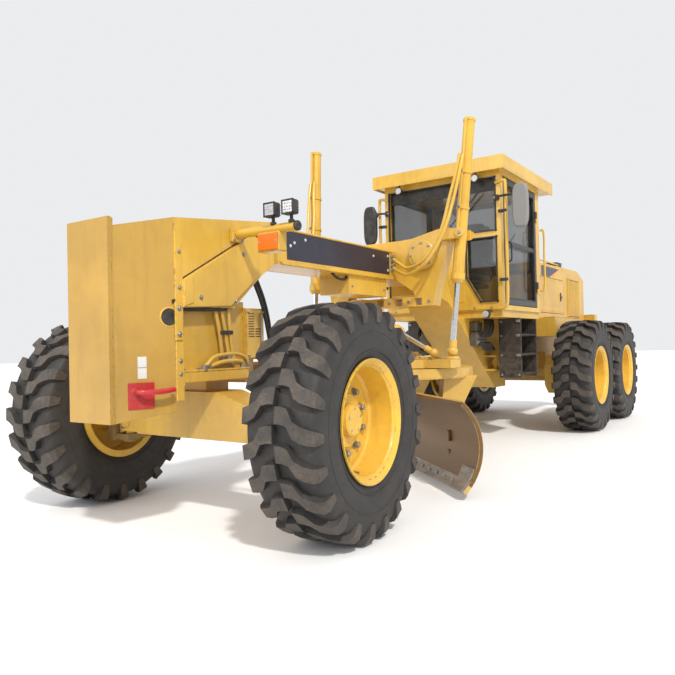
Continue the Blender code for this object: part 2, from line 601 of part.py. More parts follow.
def build_saddle(root):
    """The lift saddle round the beam, which carries the yokes of both lift cylinders."""
    y = along
    span = (y(SADDLE_Y - SADDLE_DEPTH / 2), y(SADDLE_Y + SADDLE_DEPTH / 2))
    yoke_z = YOKE[2]
    adds = []
    for s in (-1, 1):
        adds.append(prism([(s * 0.10, 1.74), (s * 0.10, 2.05), (s * 0.34, 2.06),
                           (s * 0.66, yoke_z + 0.07),
                           (s * 0.70, yoke_z + 0.07), (s * 0.70, yoke_z - 0.07), (s * 0.65, 1.80),
                           (s * 0.58, 1.60), (s * 0.55, 1.44), (s * 0.40, 1.44), (s * 0.35,
                               1.58)], "Y", span))
        outer = YOKE_HALF + YOKE_PLATE
        adds.append(cuboid(sorted((s * 0.66, s * 0.695)), (y(YOKE[1] - outer), y(YOKE[1] + outer)),
                           (yoke_z - 0.05, yoke_z + 0.05)))
        for d in (-1, 1):
            adds.append(cuboid(sorted((s * 0.67, s * (YOKE[0] + 0.05))),
                               sorted((y(YOKE[1] + d * YOKE_HALF), y(YOKE[1] + d * outer))),
                               (yoke_z - 0.045, yoke_z + 0.045)))
    adds.append(cuboid((-0.54, 0.54), span, (1.440, 1.530)))
    adds.append(cuboid((-0.30, 0.30), span, (1.84, 2.055)))
    lug_y = span[0] - LUG_REACH
    adds.append(cuboid((-0.26, -0.14), (lug_y, span[0] + 0.01), (1.44, 1.53)))
    slot = hull([(s * (BEAM_HALF + GAP), y(at), top + extra) for s in (-1, 1) for at, top, deep in (
        (BEAM_START - 0.01, BEAM_TOP_FRONT, BEAM_DEEP), (BEAM_END, BEAM_TOP_REAR, BEAM_SHALLOW))
        for extra in (GAP, -deep - GAP)])
    holes = [cuboid((x - 0.035, x + 0.035), (span[0] - 0.01, span[1] + 0.01), (1.455, 1.515))
             for x in (-0.40, 0.0, 0.20, 0.40)]
    piece("lift_saddle", root, YELLOW, adds, [slot, *holes])
    return lug_y


def build_drawbar(root):
    """The drawbar on its ball, the circle, the blade bracket, the blade and all their cylinders."""
    y = along
    centre = Vector((0, y(CIRCLE_Y), 0))
    ball_at = (0, y(DRAWBAR_BALL_Y), DRAWBAR_BALL_Z)
    yaw = body("drawbar_ball", ball_at, root, (0, 0, 1))
    piece("drawbar_ball", yaw, IRON, [ball(ball_at, BALL_R)], smooth=True)
    pitch = body("drawbar", ball_at, yaw, (1, 0, 0))
    front = y(DRAWBAR_BALL_Y) + BALL_R + PIN_GAP
    spine = hull([(s * w, at, z) for s in (-1, 1) for w, at in ((0.085, front), (0.15, y(1.75)))
                  for z in (
        DRAWBAR_LOW, DRAWBAR_BALL_Z + 0.075)])
    plate = prism([(0.13, y(1.55)), (0.56, y(2.02)), (0.60, y(2.60)), (0.36, y(3.04)), (-0.36, y(3.04)),
                   (-0.60, y(2.60)), (-0.56, y(2.02)), (-0.13, y(1.55))], "Z", (DRAWBAR_LOW,
                       DRAWBAR_HIGH))
    wing = cuboid((-0.80, 0.80), (y(2.06), y(2.26)), (DRAWBAR_LOW, DRAWBAR_HIGH))
    hub = rod(centre + Vector((0, 0, CIRCLE_LOW)), centre + Vector((0, 0, DRAWBAR_HIGH)), 0.16, 24)
    drive = rod(centre + Vector((0, 0.42, DRAWBAR_HIGH - 0.02)),
                centre + Vector((0, 0.42, DRAWBAR_HIGH + 0.01)), 0.10)
    piece("drawbar", pitch, YELLOW, [spine, plate, wing, hub, drive])
    # The circle and the blade have their own frame at the circle's centre, turned by the blade's
    # angle: s runs to the blade's left end, t runs forward across it.
    place = Matrix.Translation(centre) @ Matrix.Rotation(-BLADE_TURN, 4, "Z")
    left = place.to_3x3() @ Vector((1, 0, 0))

    def at(s, t, z):
        return Vector((s, -t, z))

    def block(s, t, z):
        return cuboid(s, sorted((-t[0], -t[1])), z)

    turn = body("circle", centre + Vector((0, 0, CIRCLE_HIGH)), pitch, (0, 0, 1))
    disc = rod(at(0, 0, CIRCLE_LOW), at(0, 0, CIRCLE_HIGH), CIRCLE_R, 40)
    hole = rod(at(0, 0, 0.5), at(0, 0, 1.1), CIRCLE_R - 0.165, 32)
    high, low = CIRCLE_HIGH - 0.015, CIRCLE_LOW + 0.015
    spokes = [block((-0.65, 0.65), (-0.05, 0.05), (low, high)),
              block((-0.05, 0.05), (-0.65, 0.65), (low, high))]
    eye_wall = rod(at(0, 0, CIRCLE_LOW), at(0, 0, CIRCLE_HIGH), 0.23, 24)
    eye = bore(at(0, 0, 0.5), at(0, 0, 1.1), 0.16, 24)
    ring = bmesh.new()
    ring.from_mesh(solid_mesh("ring", [disc], [hole]))
    arms = [hull([at(a, t, z) for a in (s - 0.05, s + 0.05) for t, z in (
        (-0.62, low), (-0.30, low), (TIP_OUT - 0.06, TIP_Z), (TIP_OUT + 0.05, TIP_Z),
        (TIP_OUT, TIP_Z - 0.06))]) for s in (-0.52, 0.52)]
    tip_bore = bore(at(-0.8, TIP_OUT, TIP_Z), at(0.8, TIP_OUT, TIP_Z), 0.025)
    piece("circle", turn, YELLOW, [ring, eye_wall, *spokes, *arms], [eye, tip_bore], place=place)
    # The bracket hinges on the circle's arms and holds the blade's two rails.
    tip = body("blade_tip", place @ at(0, TIP_OUT, TIP_Z), turn, left)
    rails_z = (0.250, 0.520)
    rail_out = -0.160
    shift_z = 0.385
    shift_out = rail_out - 0.020
    cheeks = [hull([at(a, t, z) for a in (s - 0.04, s + 0.04) for t, z in (
        (TIP_OUT - 0.02, TIP_Z - 0.045), (TIP_OUT - 0.02, TIP_Z + 0.045), (rail_out - 0.05,
            rails_z[1] + 0.052),
        (rail_out + 0.02, rails_z[1] + 0.052), (rail_out + 0.02, rails_z[0] - 0.052),
        (rail_out - 0.05, rails_z[0] - 0.052))]) for s in (-0.42, 0.42)]
    pin = rod(at(-0.58, TIP_OUT, TIP_Z), at(0.58, TIP_OUT, TIP_Z), 0.025)
    shoes = [block((s - 0.07, s + 0.07), (rail_out - 0.045, rail_out + 0.045), (z - 0.045, z + 0.045))
             for s in (-0.42, 0.42) for z in rails_z]
    rail_holes = [rod(at(-1, rail_out, z), at(1, rail_out, z), RAIL_R + PIN_GAP) for z in rails_z]
    jack = rod(at(-0.70, shift_out, shift_z), at(0.65, shift_out, shift_z), 0.036)
    jack_bore = rod(at(-0.66, shift_out, shift_z), at(0.7, shift_out, shift_z), 0.020 + PIN_GAP)
    piece("blade_bracket", tip, YELLOW, [*cheeks, pin, *shoes, jack], [*rail_holes, jack_bore],
          place=place)
    # The blade is an arc about a line ahead of it, with rails on its back.
    shift = body("blade_shift", place @ at(0, rail_out, TIP_Z), tip, left)
    mid_z = BLADE_EDGE_Z + BLADE_CHORD / 2
    depth = BLADE_ARC_R - math.sqrt(BLADE_ARC_R ** 2 - (BLADE_CHORD / 2) ** 2)
    reach = math.asin(BLADE_CHORD / 2 / BLADE_ARC_R)
    face_t = BLADE_EDGE_OUT - depth
    outer_r = BLADE_ARC_R + BLADE_THICK
    middle_r = BLADE_ARC_R + BLADE_THICK / 2
    steps = 10
    arc = [reach * (2 * i / steps - 1) for i in range(steps + 1)]

    def curve(radius, angles):
        return [(-(face_t + BLADE_ARC_R - radius * math.cos(a)), mid_z + radius * math.sin(a))
                for a in angles]

    def in_wall(z):
        """How far ahead the middle of the blade's wall lies at a height."""
        return face_t + BLADE_ARC_R - math.sqrt(middle_r ** 2 - (z - mid_z) ** 2)

    half = BLADE_LENGTH / 2
    profile = prism(curve(BLADE_ARC_R, arc) + curve(outer_r, reversed(arc)), "X", (-half, half))
    rails = [rod(at(-1.305, rail_out, z), at(1.305, rail_out, z), RAIL_R) for z in rails_z]
    posts = [block((s - 0.02, s + 0.02), (rail_out - 0.03, in_wall(z)), (z - 0.03, z + 0.03))
             for s in (-1.30, 1.30) for z in rails_z]
    shift_rod = rod(at(0.0, shift_out, shift_z), at(1.305, shift_out, shift_z), 0.020)
    shift_post = block((1.281, 1.319), (rail_out - 0.05, in_wall(shift_z)),
                       (shift_z - 0.04, shift_z + 0.04))
    piece("blade", shift, WORN, [profile, *rails, *posts, shift_rod, shift_post], place=place)
    # Lift cylinders: each barrel passes through its yoke.
    for side, s in (("left", 1), ("right", -1)):
        base = Vector((s * YOKE[0], y(YOKE[1]), YOKE[2]))
        top = Vector((s * LIFT_TOP[0], y(LIFT_TOP[1]), LIFT_TOP[2]))
        way = (base - top).normalized()
        low = base + way * ((base.z - LIFT_EYE_Z) / -way.z)
        share = (base.z - LIFT_BARREL_END) / (base.z - LIFT_EYE_Z)
        cylinder("lift_" + side, root, base, low, share, LIFT_BARREL_R, (0, 1, 0), LIFT_INSIDE,
                 lugs=YOKE_HALF - GAP, top=top)
    return yaw


def build_centre_shift(root, lug_y):
    """The centre-shift cylinder from the saddle's bar to the drawbar's left wing."""
    base = (-0.20, lug_y - CENTRE_SHIFT_R - GAP, 1.485)
    eye = (0.62, lug_y - CENTRE_SHIFT_R - GAP, 1.020)
    cylinder("centre_shift", root, base, eye, 0.62, CENTRE_SHIFT_R, (0, 1, 0), SHIFT_INSIDE)


def build_rear_frame(root):
    """The hinged rear frame with the tandem cases, hood, engine and the hitch cylinders."""
    y = along
    pivot = (0, y(PIVOT_Y), 0.95)
    rear = body("articulation", pivot, root, (0, 0, 1))
    pin = rod((0, y(PIVOT_Y), 0.62), (0, y(PIVOT_Y), 1.33), PIVOT_R)
    knuckle = cuboid((-0.10, 0.10), (y(PIVOT_Y - 0.08), y(5.16)), (NECK_LOW + 0.088, 1.262))
    cross = cuboid((-0.24, 0.24), (y(5.12), y(5.30)), (0.80, 1.25))
    beams = [cuboid(sorted((s * 0.22, s * 0.42)), (y(5.14), y(7.85)), (0.96, 1.25)) for s in (-1, 1)]
    tie = [cuboid((-0.42, 0.42), (y(a), y(b)), (0.96, 1.25)) for a, b in ((7.70, 7.86),)]
    side_box = cuboid((-0.74, 0.74), (y(5.27), y(6.10)), (1.16, HOOD_LOW - GAP))
    decks = [cuboid((-0.62, 0.62), (y(6.0), y(7.80)), (1.24, HOOD_LOW - GAP))]
    inner_x = TRACK / 2 - TYRE_WIDTH / 2 - RUN
    housing_end = inner_x - TANDEM_WIDTH - GAP
    housing = rod((-housing_end, y(WHEELBASE), 0.72), (housing_end, y(WHEELBASE), 0.72), 0.17, 20)
    pillow = cuboid((-0.40, 0.40), (y(WHEELBASE - 0.16), y(WHEELBASE + 0.16)), (0.70, 1.0))
    bumper = hull([(s * w, y(at), z) for s in (-1, 1)
                   for w, at in ((0.62, 7.78), (0.62, REAR_END - 0.06), (0.50, REAR_END))
                   for z in (0.82, HOOD_LOW + 0.10)])
    lugs = [cuboid(sorted((s * 0.30, s * 0.42)), (y(5.45), y(5.56)), (HITCH_Z - 0.06, 0.97))
            for s in (-1, 1)]
    piece("rear_frame", rear, YELLOW, [cross, knuckle, pin, *beams, *tie, side_box, *decks, housing,
                                       pillow, bumper, *lugs])
    for side, s in (("left", 1), ("right", -1)):
        x = sorted((s * (inner_x - TANDEM_WIDTH), s * inner_x))
        half = TANDEM_SPACING / 2
        outline = [(y(WHEELBASE + at), z) for at, z in (
            (-half - 0.24, 0.56), (-half - 0.24, 0.80), (-half - 0.10, 0.92), (half + 0.10, 0.92),
            (half + 0.24, 0.80), (half + 0.24, 0.56), (half + 0.10, 0.45), (-half - 0.10, 0.45))]
        spindles = [rod((s * (inner_x - 0.02), y(WHEELBASE + d), TYRE_R),
                        (s * (TRACK / 2 + 0.055), y(WHEELBASE + d), TYRE_R),
                        SPINDLE_R) for d in (-half, half)]
        piece("tandem_" + side, rear, YELLOW, [prism(outline, "X", x), *spindles])
    shell = hull([(s * HOOD_HALF, y(at), z) for s in (-1, 1) for at, z in (
        (HOOD_FRONT, HOOD_LOW), (HOOD_FRONT, HOOD_TOP - 0.05), (HOOD_FRONT + 0.25,
            HOOD_TOP - 0.02), (HOOD_REAR - 0.35, HOOD_TOP),
        (HOOD_REAR, HOOD_TOP - 0.12), (HOOD_REAR, HOOD_LOW))])
    w = HOOD_HALF - HOOD_WALL
    room = cuboid((-w, w), (y(HOOD_FRONT + HOOD_WALL), y(HOOD_REAR - HOOD_WALL)),
                  (HOOD_LOW - 0.1, HOOD_TOP - 0.16))
    side_holes = cuboid((-1, 1), (y(ENGINE_DOOR_FRONT) - DOOR_GAP, y(ENGINE_DOOR_REAR) + DOOR_GAP),
                        (HOOD_LOW + 0.08 - DOOR_GAP, HOOD_TOP - 0.20 + DOOR_GAP))
    stack_hole = rod((0.18, y(7.05), 1.9), (0.18, y(7.05), 2.4), 0.065)
    hinge_at = (HOOD_HALF + HINGE_R, y(ENGINE_DOOR_FRONT) - DOOR_GAP / 2)
    hinges = {s: knuckles((s * hinge_at[0], hinge_at[1]), s, -1, 1.56, 1.80) for s in (1, -1)}
    hood = bmesh.new()
    hood.from_mesh(solid_mesh("hood shell", [shell], [room, side_holes, stack_hole]))
    piece("hood", rear, YELLOW, [hood, *(shape for s in (1, -1) for shape in hinges[s][1])])
    for side, s in (("left", 1), ("right", -1)):
        hinge = body("engine_door_" + side, (s * hinge_at[0], hinge_at[1], 1.75), rear, (0, 0, -s))
        piece("engine_door_" + side, hinge, YELLOW, [cuboid(
            sorted((s * (HOOD_HALF - HOOD_WALL), s * HOOD_HALF)), (y(ENGINE_DOOR_FRONT),
                y(ENGINE_DOOR_REAR)),
            (HOOD_LOW + 0.08, HOOD_TOP - 0.20)), *hinges[s][0]])
    piece("engine", rear, IRON, [cuboid((-0.33, 0.33), (y(5.45), y(6.85)), (HOOD_LOW, 1.95))])
    piece("exhaust", rear, BLACK, [rod((0.18, y(7.05), HOOD_LOW), (0.18, y(7.05), 2.26), 0.055),
                                   cuboid((0.06, 0.30), (y(6.93), y(7.17)), (2.16, 2.28))], smooth=True)
    for side, s in (("left", 1), ("right", -1)):
        base = (s * HITCH_X, y(4.25), HITCH_Z)
        cylinder("hitch_" + side, root, base, (s * HITCH_X, y(5.38), HITCH_Z), 0.62, HITCH_R, (0, 0, 1),
                 HITCH_INSIDE, lugs=0.07 - GAP)
    return rear


def main():
    """Clears the scene and builds the machine."""
    for thing in list(bpy.data.objects):
        bpy.data.objects.remove(thing)
    root = body("root", (0, 0, 0))
    build_front_frame(root)
    carriers = build_front_axle(root)
    build_cab(root)
    lug_y = build_saddle(root)
    build_drawbar(root)
    build_centre_shift(root, lug_y)
    rear = build_rear_frame(root)
    build_wheels(root, rear, carriers)


main()
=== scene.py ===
"""The looks of a motor grader: finishes, tread, trim, hoses and lamps on the fixed frame of its solids.

X is the machine's left, Y is rearward and Z is up, in metres, as in the frame. Each sub-assembly is a
class whose size fields are dataclass fields, and main() builds them all.
"""

import enum
import json
import logging
import math
from dataclasses import dataclass
from typing import Optional, Sequence

import bpy
import numpy as np
from mathutils import Matrix, Vector

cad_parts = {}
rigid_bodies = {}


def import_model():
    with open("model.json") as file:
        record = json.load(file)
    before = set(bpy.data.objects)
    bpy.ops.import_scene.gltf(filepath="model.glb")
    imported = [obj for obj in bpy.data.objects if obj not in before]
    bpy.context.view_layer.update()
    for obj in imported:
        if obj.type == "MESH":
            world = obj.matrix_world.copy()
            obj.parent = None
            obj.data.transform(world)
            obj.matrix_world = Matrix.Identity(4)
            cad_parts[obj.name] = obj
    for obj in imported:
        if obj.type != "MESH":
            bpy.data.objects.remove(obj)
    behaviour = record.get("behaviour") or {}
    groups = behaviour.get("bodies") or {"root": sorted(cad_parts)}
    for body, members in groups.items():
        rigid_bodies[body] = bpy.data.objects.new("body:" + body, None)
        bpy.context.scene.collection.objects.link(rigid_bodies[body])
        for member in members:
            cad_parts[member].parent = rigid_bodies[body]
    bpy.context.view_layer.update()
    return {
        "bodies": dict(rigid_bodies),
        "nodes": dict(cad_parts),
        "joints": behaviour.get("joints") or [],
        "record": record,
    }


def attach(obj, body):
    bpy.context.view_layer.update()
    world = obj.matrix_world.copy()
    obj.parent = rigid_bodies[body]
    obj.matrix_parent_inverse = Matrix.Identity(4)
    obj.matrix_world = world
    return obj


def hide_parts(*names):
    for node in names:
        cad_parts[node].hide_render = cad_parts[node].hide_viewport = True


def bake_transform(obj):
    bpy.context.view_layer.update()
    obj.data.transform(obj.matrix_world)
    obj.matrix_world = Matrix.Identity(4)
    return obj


LOG = logging.getLogger("grader")
FRONT_AXLE_Y = -3.565  # Y of the front axle, from which the machine is set out

Array = np.ndarray
Point = tuple[float, float, float]
JOINTS: dict[str, dict] = {}  # the frame's joints by the body that each one moves


def along(offset: float) -> float:
    """Y of a place that lies this far behind the front axle.

    Args:
        offset: distance behind the front axle, in metres.

    Returns:
        The front axle's Y plus the offset.
    """
    return FRONT_AXLE_Y + offset


class Side(enum.Enum):
    """A side of the machine, by the sign of its X."""

    LEFT = 1
    RIGHT = -1

    @property
    def word(self) -> str:
        """The side's name in node names."""
        return self.name.lower()


class Row(enum.Enum):
    """A row of wheels, by its distance behind the front axle."""

    FRONT = 0.0
    MIDDLE = 5.325
    REAR = 6.847

    @property
    def word(self) -> str:
        """The row's name in node names."""
        return self.name.lower()


# ---------------------------------------------------------------- finishes


class Nodes:
    """A material's node tree, with short calls for the nodes that the finishes share."""

    def __init__(self, name: str) -> None:
        """Starts a material with its Principled shader.

        Args:
            name: the material's name.
        """
        self.material = bpy.data.materials.new(name)
        self.material.use_nodes = True
        self.tree = self.material.node_tree
        self.shader = self.tree.nodes["Principled BSDF"]
        self.coords = self.tree.nodes.new("ShaderNodeTexCoord").outputs["Object"]

    def put(self, socket: bpy.types.NodeSocket, value: object) -> None:
        """Sets a socket to a constant, or links it to another node's output.

        Args:
            socket: the input to set.
            value: a number, a colour or an output socket.
        """
        if isinstance(value, bpy.types.NodeSocket):
            self.tree.links.new(value, socket)
        elif isinstance(value, tuple) and socket.type == "RGBA":
            socket.default_value = (*value[:3], 1.0)
        else:
            socket.default_value = value

    def noise(self, scale: float, detail: float = 4.0, stretch: Point = (1, 1, 1),
            rough: float = 0.6) -> bpy.types.NodeSocket:
        """Fractal noise in object space.

        Args:
            scale: cells to the metre.
            detail: number of octaves.
            stretch: factor of the coordinates on each axis, where less draws the noise out.
            rough: share of each octave in the next.

        Returns:
            The value, about 0.2 to 0.8.
        """
        mapping = self.tree.nodes.new("ShaderNodeMapping")
        mapping.inputs["Scale"].default_value = stretch
        self.put(mapping.inputs["Vector"], self.coords)
        made = self.tree.nodes.new("ShaderNodeTexNoise")
        made.inputs["Scale"].default_value = scale
        made.inputs["Detail"].default_value = detail
        made.inputs["Roughness"].default_value = rough
        self.put(made.inputs["Vector"], mapping.outputs["Vector"])
        return made.outputs["Fac"]

    def height(self) -> bpy.types.NodeSocket:
        """Z in object space, which is the height above the ground."""
        split = self.tree.nodes.new("ShaderNodeSeparateXYZ")
        self.put(split.inputs["Vector"], self.coords)
        return split.outputs["Z"]

    def ramp(self, value: bpy.types.NodeSocket, low: float, high: float, start: float = 0.0,
            end: float = 1.0) -> bpy.types.NodeSocket:
        """A clamped line: start at low, end at high.

        Args:
            value: what is mapped.
            low: value that gives start.
            high: value that gives end.
            start: result at low.
            end: result at high.

        Returns:
            start + (value - low) / (high - low) * (end - start), clamped.
        """
        made = self.tree.nodes.new("ShaderNodeMapRange")
        self.put(made.inputs["Value"], value)
        for name, number in (("From Min", low), ("From Max", high), ("To Min", start), ("To Max", end)):
            made.inputs[name].default_value = number
        return made.outputs["Result"]

    def math(self, kind: str, a: object, b: object = 0.0) -> bpy.types.NodeSocket:
        """One arithmetic step on two values.

        Args:
            kind: the Math node's operation.
            a: first value or socket.
            b: second value or socket.

        Returns:
            The result, a kind b.
        """
        made = self.tree.nodes.new("ShaderNodeMath")
        made.operation = kind
        self.put(made.inputs[0], a)
        self.put(made.inputs[1], b)
        return made.outputs["Value"]

    def mix(self, factor: object, a: object, b: object) -> bpy.types.NodeSocket:
        """A colour between two.

        Args:
            factor: 0 gives a, 1 gives b.
            a: first colour or socket.
            b: second colour or socket.

        Returns:
            a * (1 - factor) + b * factor.
        """
        made = self.tree.nodes.new("ShaderNodeMix")
        made.data_type = "RGBA"
        self.put(made.inputs["Factor"], factor)
        self.put(made.inputs[6], a)
        self.put(made.inputs[7], b)
        return made.outputs[2]

    def edges(self, radius: float) -> bpy.types.NodeSocket:
        """How much a point lies on a convex edge.

        Args:
            radius: reach from the edge, in metres.

        Returns:
            1 less the cosine between the flat normal and the rounded one, scaled to reach 1.
        """
        round_off = self.tree.nodes.new("ShaderNodeBevel")
        round_off.samples = 4
        round_off.inputs["Radius"].default_value = radius
        flat = self.tree.nodes.new("ShaderNodeNewGeometry").outputs["Normal"]
        dot = self.tree.nodes.new("ShaderNodeVectorMath")
        dot.operation = "DOT_PRODUCT"
        self.put(dot.inputs[0], round_off.outputs["Normal"])
        self.put(dot.inputs[1], flat)
        return self.ramp(dot.outputs["Value"], 0.985, 0.9)

    def bump(self, value: bpy.types.NodeSocket, depth: float, strength: float = 0.5) -> None:
        """Dents the surface by a value.

        Args:
            value: height, 0 to 1.
            depth: how deep 1 is, in metres.
            strength: share of the effect.
        """
        made = self.tree.nodes.new("ShaderNodeBump")
        made.inputs["Distance"].default_value = depth
        made.inputs["Strength"].default_value = strength
        self.put(made.inputs["Height"], value)
        self.put(self.shader.inputs["Normal"], made.outputs["Normal"])

    def finish(self, colour: object, roughness: object, metallic: float = 0.0,
            coat: float = 0.0) -> bpy.types.Material:
        """Sets the shader's main inputs.

        Args:
            colour: base colour.
            roughness: 0 is a mirror.
            metallic: 1 is bare metal.
            coat: weight of the clear coat.

        Returns:
            The material.
        """
        for name, value in (("Base Color", colour), ("Roughness", roughness), ("Metallic", metallic),
                ("Coat Weight", coat)):
            self.put(self.shader.inputs[name], value)
        return self.material


@dataclass(frozen=True)
class Finish:
    """What a surface is made of. Each kind of finish makes one material, once."""

    name: str
    colour: tuple[float, float, float]

    def build(self, nodes: Nodes) -> bpy.types.Material:
        """Fills in the material's nodes; each kind of finish has its own.

        Args:
            nodes: the material to fill.

        Returns:
            The finished material.
        """
        raise NotImplementedError

    def material(self) -> bpy.types.Material:
        """The finish's material, from the file if it is already made."""
        return bpy.data.materials.get(self.name) or self.build(Nodes(self.name))


@dataclass(frozen=True)
class Paint(Finish):
    """Enamel with a faint orange peel, faded patches, chipped edges and dust that thickens low down."""

    gloss: float = 0.32
    chips: float = 1.0
    dust: float = 0.55
    dust_top: float = 1.7
    dust_colour: tuple[float, float, float] = (0.36, 0.27, 0.17)
    bare: tuple[float, float, float] = (0.055, 0.04, 0.03)

    def build(self, nodes: Nodes) -> bpy.types.Material:
        """Paint under dust, with chips where edges and noise meet.

        Args:
            nodes: the material to fill.

        Returns:
            The finished material.
        """
        deep = tuple(c * 0.8 for c in self.colour)
        patch = nodes.ramp(nodes.noise(2.3, 5.0), 0.38, 0.66)
        paint = nodes.mix(patch, deep, self.colour)
        streaks = nodes.ramp(nodes.noise(14.0, 5.0, (1, 1, 0.1)), 0.54, 0.74, 0.0, 0.3)
        paint = nodes.mix(streaks, paint, tuple(c * 0.45 for c in self.colour))
        low = nodes.ramp(nodes.height(), self.dust_top, 0.15)
        speckle = nodes.ramp(nodes.noise(26.0, 8.0, rough=0.72), 0.34, 0.68)
        dusty = nodes.math("MULTIPLY", nodes.math("MULTIPLY", low, speckle), self.dust)
        paint = nodes.mix(dusty, paint, self.dust_colour)
        scrape = nodes.ramp(nodes.noise(38.0, 6.0, rough=0.7), 0.5, 0.58)
        chipped = nodes.math("MULTIPLY", nodes.math("MULTIPLY", nodes.edges(0.005), scrape), self.chips)
        paint = nodes.mix(chipped, paint, self.bare)
        nodes.bump(nodes.noise(150.0, 2.0), 0.0006, 0.25)
        rough = nodes.math("ADD", self.gloss, nodes.math("MULTIPLY", dusty, 0.45))
        return nodes.finish(paint, rough, coat=0.12)


@dataclass(frozen=True)
class Metal(Finish):
    """Bare metal, from polished chrome to a blade that is brown with soil."""

    roughness: float = 0.2
    soil: float = 0.0
    soil_colour: tuple[float, float, float] = (0.16, 0.095, 0.045)
    brushed: Point = (1, 1, 1)

    def build(self, nodes: Nodes) -> bpy.types.Material:
        """Metal with brushed roughness, under patches of dry soil.

        Args:
            nodes: the material to fill.

        Returns:
            The finished material.
        """
        grain = nodes.noise(90.0, 5.0, self.brushed)
        patch = nodes.math("MULTIPLY", nodes.ramp(nodes.noise(5.0, 9.0, self.brushed, 0.66), 0.36, 0.62),
                self.soil)
        colour = nodes.mix(nodes.ramp(grain, 0.3, 0.7), tuple(c * 0.72 for c in self.colour), self.colour)
        colour = nodes.mix(patch, colour, self.soil_colour)
        rough = nodes.math("ADD", nodes.ramp(grain, 0.25, 0.75, self.roughness, self.roughness + 0.14),
                nodes.math("MULTIPLY", patch, 0.45))
        nodes.bump(nodes.noise(60.0, 7.0, self.brushed), 0.0012, 0.1 + 0.5 * self.soil)
        return nodes.finish(colour, rough, 1.0 - 0.55 * self.soil)


@dataclass(frozen=True)
class Rubber(Finish):
    """Rubber, grey with dry dust in its grain; a tyre is tan on its lugs' tops."""

    dust: float = 0.5
    dust_colour: tuple[float, float, float] = (0.3, 0.22, 0.145)

    def build(self, nodes: Nodes) -> bpy.types.Material:
        """Dark rubber under blotches of dust.

        Args:
            nodes: the material to fill.

        Returns:
            The finished material.
        """
        blotch = nodes.ramp(nodes.noise(7.0, 9.0, rough=0.68), 0.36, 0.66, 0.15, 1.0)
        fine = nodes.ramp(nodes.noise(70.0, 5.0), 0.3, 0.7, 0.4, 1.0)
        dusty = nodes.math("MULTIPLY", nodes.math("MULTIPLY", blotch, fine), self.dust)
        colour = nodes.mix(dusty, self.colour, self.dust_colour)
        nodes.bump(nodes.noise(120.0, 6.0), 0.0015, 0.35)
        return nodes.finish(colour, nodes.ramp(dusty, 0.0, 1.0, 0.62, 0.95))


@dataclass(frozen=True)
class Plastic(Finish):
    """Moulded plastic or painted trim with a fine grain and a little dust."""

    roughness: float = 0.45
    dust: float = 0.18

    def build(self, nodes: Nodes) -> bpy.types.Material:
        """Plain colour with grain and a film of dust.

        Args:
            nodes: the material to fill.

        Returns:
            The finished material.
        """
        film = nodes.math("MULTIPLY", nodes.ramp(nodes.noise(11.0, 8.0, rough=0.7), 0.42, 0.72), self.dust)
        colour = nodes.mix(film, self.colour, (0.34, 0.27, 0.19))
        nodes.bump(nodes.noise(420.0, 2.0), 0.0004, 0.4)
        return nodes.finish(colour, nodes.ramp(film, 0.0, 0.5, self.roughness, 0.9))


@dataclass(frozen=True)
class Glass(Finish):
    """Tinted glass with a film of dust, or a lamp's clear lens."""

    clear: float = 0.8
    film: float = 0.1

    def build(self, nodes: Nodes) -> bpy.types.Material:
        """Thin glass that lets part of the light through.

        Args:
            nodes: the material to fill.

        Returns:
            The finished material.
        """
        smear = nodes.math("MULTIPLY", nodes.ramp(nodes.noise(4.0, 8.0, (1, 1, 0.4)), 0.42, 0.7), self.film)
        colour = nodes.mix(smear, self.colour, (0.45, 0.4, 0.33))
        nodes.put(nodes.shader.inputs["Alpha"], nodes.ramp(smear, 0.0, 1.0, 1.0 - self.clear, 1.0))
        nodes.put(nodes.shader.inputs["IOR"], 1.5)
        return nodes.finish(colour, nodes.ramp(smear, 0.0, 0.4, 0.03, 0.35), coat=0.6)


@dataclass(frozen=True)
class Cloth(Finish):
    """Woven seat cloth with a sheen."""

    threads: float = 700.0

    def build(self, nodes: Nodes) -> bpy.types.Material:
        """A plain weave from two waves that cross.

        Args:
            nodes: the material to fill.

        Returns:
            The finished material.
        """
        waves = []
        for direction in ("X", "Z"):
            made = nodes.tree.nodes.new("ShaderNodeTexWave")
            made.bands_direction = direction
            made.inputs["Scale"].default_value = self.threads / 6.0
            nodes.put(made.inputs["Vector"], nodes.coords)
            waves.append(made.outputs["Fac"])
        weave = nodes.math("MAXIMUM", *waves)
        colour = nodes.mix(nodes.ramp(weave, 0.2, 1.0), tuple(c * 0.5 for c in self.colour), self.colour)
        faded = nodes.mix(nodes.ramp(nodes.noise(9.0), 0.45, 0.7, 0.0, 0.5), colour, (0.13, 0.12, 0.11))
        nodes.put(nodes.shader.inputs["Sheen Weight"], 0.4)
        nodes.bump(weave, 0.0008, 0.6)
        return nodes.finish(faded, 0.88)


